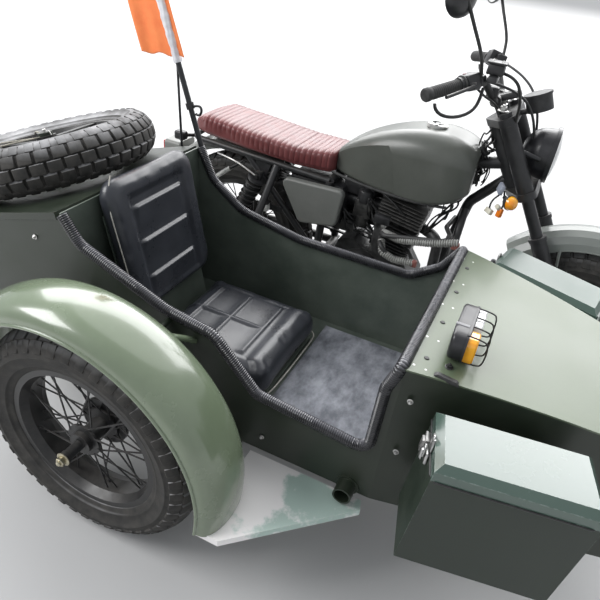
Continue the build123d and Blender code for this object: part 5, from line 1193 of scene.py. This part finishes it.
# Ribbed conduits: pale corrugated sleeves from the intake housing forward along the tub,
# each ending in a dull red clip.
conduit_grey = surface("conduit_grey", (0.2, 0.2, 0.19), (0.42, 0.42, 0.4), scale=60.0, rough=(0.35, 0.55))
CONDUITS = [
    ([(0.644, -0.165, 0.562), (0.72, -0.197, 0.566), (0.82, -0.202, 0.59), (0.905, -0.2, 0.618)],
        [0.1, 0.14]),
    ([(0.646, -0.165, 0.532), (0.664, -0.196, 0.5), (0.712, -0.204, 0.49), (0.78, -0.203, 0.498)],
        [0.02, 0.04]),
]
for number, (knots, bends) in enumerate(CONDUITS):
    path = rounded(spots(*knots), bends)
    sleeve_piece = along(hose_rib(0.011, 0.008, 0.0024, 18), path, f"ribbed_conduit_{number + 1}")
    paint(sleeve_piece, conduit_grey)
    smooth(40)
    fit(sleeve_piece)
clip_red = surface("red_clip", (0.2, 0.07, 0.06), (0.34, 0.15, 0.13), scale=60.0)
clips = [
    block_at((0.026, 0.024, 0.022), spot(0.903, -0.199, 0.606), finish=clip_red, bevel=0.004),
    block_at((0.02, 0.022, 0.024), spot(0.786, -0.203, 0.499), finish=clip_red, bevel=0.004),
    block_at((0.03, 0.06, 0.03), spot(0.63, -0.15, 0.601), (0.1, 0.0, 1.0), 0.1, moulding)]
bolt_piece = hex_bolt(0.012, bolt_zinc)
bolt_piece.data.transform(facing(spot(0.641, -0.152, 0.578), (0.0, -1.0, 0.2)))
group("conduit_clips", clips + [bolt_piece])

# Wiring: thin black sheathed leads in loose bundles, behind the steering head, under the
# tank and by the side covers, each tied to the frame.
draw = random.Random(11)
BUNDLES = [
    # from, to, leads, spread
    ((0.88, 0.0, 0.9), (0.9, 0.0, 0.76), 9, 0.03), ((0.89, -0.01, 0.96), (0.9, -0.01, 0.82), 6, 0.026),
    ((0.46, -0.08, 0.56), (0.6, -0.07, 0.47), 10, 0.03), ((0.25, -0.105, 0.64), (0.11, -0.1, 0.6), 7, 0.022),
    ((0.87, -0.02, 0.76), (0.78, -0.06, 0.56), 6, 0.026),
    ((0.56, -0.105, 0.64), (0.62, -0.09, 0.47), 6, 0.024),
]
leads = []
for start, end, count, spread in BUNDLES:
    for number in range(count):
        points = []
        for step in range(6):
            share = step / 5
            loose = spread * (0.35 + sin(pi * share))
            points.append(
                spot(*(a + (b - a) * share + draw.uniform(-loose, loose) for a, b in zip(start, end))))
        leads.append(line("lead", points, draw.choice((0.0022, 0.0028, 0.0036)), black_screw, sides=2))
group("wiring_bundles", leads)

# Filler cap: a polished ring round a dark hinged centre with its latch, screwed into the
# crown of the tank.
filler = turned(
    "filler_cap_ring", [(0.0, 0.006), (0.016, 0.006), (0.018, 0.009), (0.0215, 0.0095), (0.023, 0.0135),
        (0.032, 0.0135), (0.035, 0.011), (0.036, 0.004), (0.036, -0.002), (0.0, -0.002)], 40, bolt_zinc)
centre = turned(
    "centre", [(0.0, 0.0135), (0.01, 0.013), (0.012, 0.0095), (0.0205, 0.0092), (0.0205, 0.005),
        (0.0, 0.005)], 32, lamp_black)
latch = block_at((0.014, 0.01, 0.006), Vector((-0.028, 0.0, 0.014)), finish=bolt_zinc, bevel=0.0015)
filler = gather("filler_cap_ring", [filler, centre, latch])
filler.data.transform(facing(spot(0.716, 0.0, 0.9145), (0.06, 0.0, 1.0)))
fit(filler, node="filler_cap")

# Tool boxes: folded sheet steel in gloss green, their lids bevelled all round over a dark
# seal, with chromed over-centre latches on the rear ends and a black knob on the left.
lid_paint = surface(
    "lid_green_paint", (0.045, 0.08, 0.064), (0.06, 0.1, 0.08), scale=5.0, rough=(0.22, 0.3), bump=0.03,
    coat=0.75, edge=((0.42, 0.5, 0.46), 0.0025, 0.8))
body_paint = surface(
    "box_body_paint", (0.011, 0.018, 0.012), (0.019, 0.028, 0.019), scale=6.0, rough=(0.38, 0.52), bump=0.05,
    edge=((0.3, 0.36, 0.32), 0.002, 0.6))
far_lid_paint = surface(
    "far_lid_green_paint", (0.045, 0.08, 0.064), (0.06, 0.1, 0.08), scale=5.0, rough=(0.34, 0.46), bump=0.03,
    coat=0.1, edge=((0.42, 0.5, 0.46), 0.0025, 0.8))
dress(lid_paint, "right_box_lid")
dress(far_lid_paint, "left_box_lid")
dress(body_paint, "tool_boxes")
BOX_CORNER, BOX_YAW, BOX_PITCH = (1.034, -0.349, 0.674), radians(12.3), radians(4.0)
BOX_LONG, BOX_WIDE, BOX_LID = 0.316, 0.158, 0.038
box_turn = Matrix.Rotation(BOX_YAW, 4, "Z") @ Matrix.Rotation(BOX_PITCH, 4, "Y")


def box_spot(along_it, across_it, up, side):
    """A place measured from a tool box's rear, inner, upper corner; side is -1 for the right box."""
    point = box_turn @ Vector((along_it, across_it, up)) + Vector(BOX_CORNER)
    return spot(point.x, TUB_Y - side * point.y, point.z)


seals = []
for side in (-1, 1):
    loop = [
        (-0.0012, 0.0012), (BOX_LONG + 0.0012, 0.0012), (BOX_LONG + 0.0012, -BOX_WIDE - 0.0012),
        (-0.0012, -BOX_WIDE - 0.0012), (-0.0012, 0.0012)]
    seals.append(
        line("seal", [box_spot(x, y, -BOX_LID - 0.0005, side) for x, y in loop], 0.0023, black_screw,
            order=2, sides=2))
group("box_seals", seals)
chrome = surface(
    "latch_chrome", (0.32, 0.32, 0.32), (0.5, 0.5, 0.49), scale=80.0, rough=(0.26, 0.42), metallic=1.0,
    bump=0.03)
LATCH_AT = -0.079
HOOK_WIRE = ((-0.007, -0.018), (-0.007, -0.008), (0.0, -0.003), (0.007, -0.008), (0.007, -0.018))
BAIL_WIRE = ((-0.008, -0.056), (-0.008, -0.037), (0.0, -0.031), (0.008, -0.037), (0.008, -0.056))


def latch_plate(size, x, z, side, taper, bevel):
    """A chromed plate in the middle of a box's rear end, lying along it."""
    rear = box_spot(-0.1, 0.0, 0.0, side) - box_spot(0.0, 0.0, 0.0, side)
    return block_at(size, box_spot(x, LATCH_AT, z, side), rear, 0.2, chrome, taper, bevel)


def latch_wire(x, corners, side):
    """A bent wire across a box's rear end; its corners are across from the latch's middle, and up."""
    return line("wire", [box_spot(x, LATCH_AT + y, z, side) for y, z in corners], 0.0026, chrome)


for side, body in ((-1, "right_lid"), (1, "left_lid")):
    hook = [
        latch_plate((0.026, 0.03, 0.004), -0.003, -0.022, side, 0.05, 0.001),
        latch_wire(-0.004, HOOK_WIRE, side)]
    group("latch_hook_" + body, hook, body)
    lever = [
        latch_wire(-0.012, BAIL_WIRE, side),
        latch_plate((0.016, 0.026, 0.005), -0.016, -0.055, side, 0.3, 0.0012),
        latch_plate((0.028, 0.026, 0.006), -0.005, -0.06, side, 0.1, 0.0015)]
    group("latch_lever_" + body, lever)
knob = turned(
    "box_knob", [(0.0, 0.0), (0.006, 0.0), (0.006, 0.006), (0.011, 0.009), (0.012, 0.014), (0.009, 0.019),
        (0.0, 0.02)], 24, lamp_black, facing(box_spot(0.008, -0.02, -0.014, 1), (-1.0, 0.0, 0.25)))
fit(knob, "left_lid")

# Spare wheel: held down by a flat cross on a threaded stud and wing nut, with lashing
# cord tied from the stud to its rim.
rope = surface(
    "lashing_rope", (0.2, 0.19, 0.16), (0.42, 0.4, 0.34), scale=90.0, rough=(0.8, 0.95), bump=0.5,
    grain=1200.0)
cross = [
    block_at((0.4, 0.03, 0.005), Vector((0.0, 0.0, 0.034)), finish=black_screw, taper=0.0, bevel=0.0012),
    block_at((0.03, 0.4, 0.005), Vector((0.0, 0.0, 0.0395)), finish=black_screw, taper=0.0, bevel=0.0012)]
stud = turned(
    "stud", [(0.0, -0.04), (0.0055, -0.04), (0.0055, 0.068), (0.004, 0.07), (0.0, 0.07)], 16, bolt_zinc)
nut = turned(
    "nut", [(0.0, 0.042), (0.016, 0.042), (0.017, 0.046), (0.011, 0.05), (0.01, 0.058), (0.0, 0.058)], 20,
    bolt_zinc)
wing = cut_block("wing", (0.052, 0.004, 0.016), 0.2, 0.0014)
wing.data.transform(Matrix.Translation((0.0, 0.0, 0.056)))
paint(wing, bolt_zinc)
ROPE_LIE = ((0.012, 0.046), (0.08, 0.05), (0.16, 0.054), (0.208, 0.05), (0.216, 0.036), (0.212, 0.018))
ropes = []
for angle, lift in ((205.0, 0.0), (258.0, 0.003), (148.0, 0.0)):
    out_way = Vector((cos(radians(angle)), sin(radians(angle)), 0.0))
    points = [out_way * radius + Vector((0.0, 0.0, height + lift)) for radius, height in ROPE_LIE]
    ropes.append(line("rope", points, 0.0026, rope, sides=3))
spare_hold = gather("spare_hold_down", cross + [stud, nut, wing] + ropes)
spare_hold.data.transform(Matrix.Translation(spare_at) @ SPARE_LEAN)
fit(spare_hold, "trunk")

# Wheel nuts: plated steel hex nuts and washers, tarnished yellow, screwed on the ends of
# the axles.
brass_nut = surface(
    "tarnished_nut", (0.34, 0.31, 0.22), (0.6, 0.56, 0.44), scale=90.0, rough=(0.3, 0.5), metallic=1.0)
for name, place, way, body in (
        ("sidecar_axle_nut", spot(0.26, -1.3275, 0.32), (0, -1, 0), "chassis"),
        ("front_axle_nut_right", spot(1.348, -0.143, 0.32), (0, -1, 0), "steering"),
        ("rear_axle_nut_left", spot(0.0, 0.142, 0.32), (0, 1, 0), "chassis")):
    axle_nut = hex_bolt(0.022, brass_nut)
    axle_nut.data.transform(facing(place, way, 0.3))
    axle_nut.name = name
    fit(axle_nut, body)
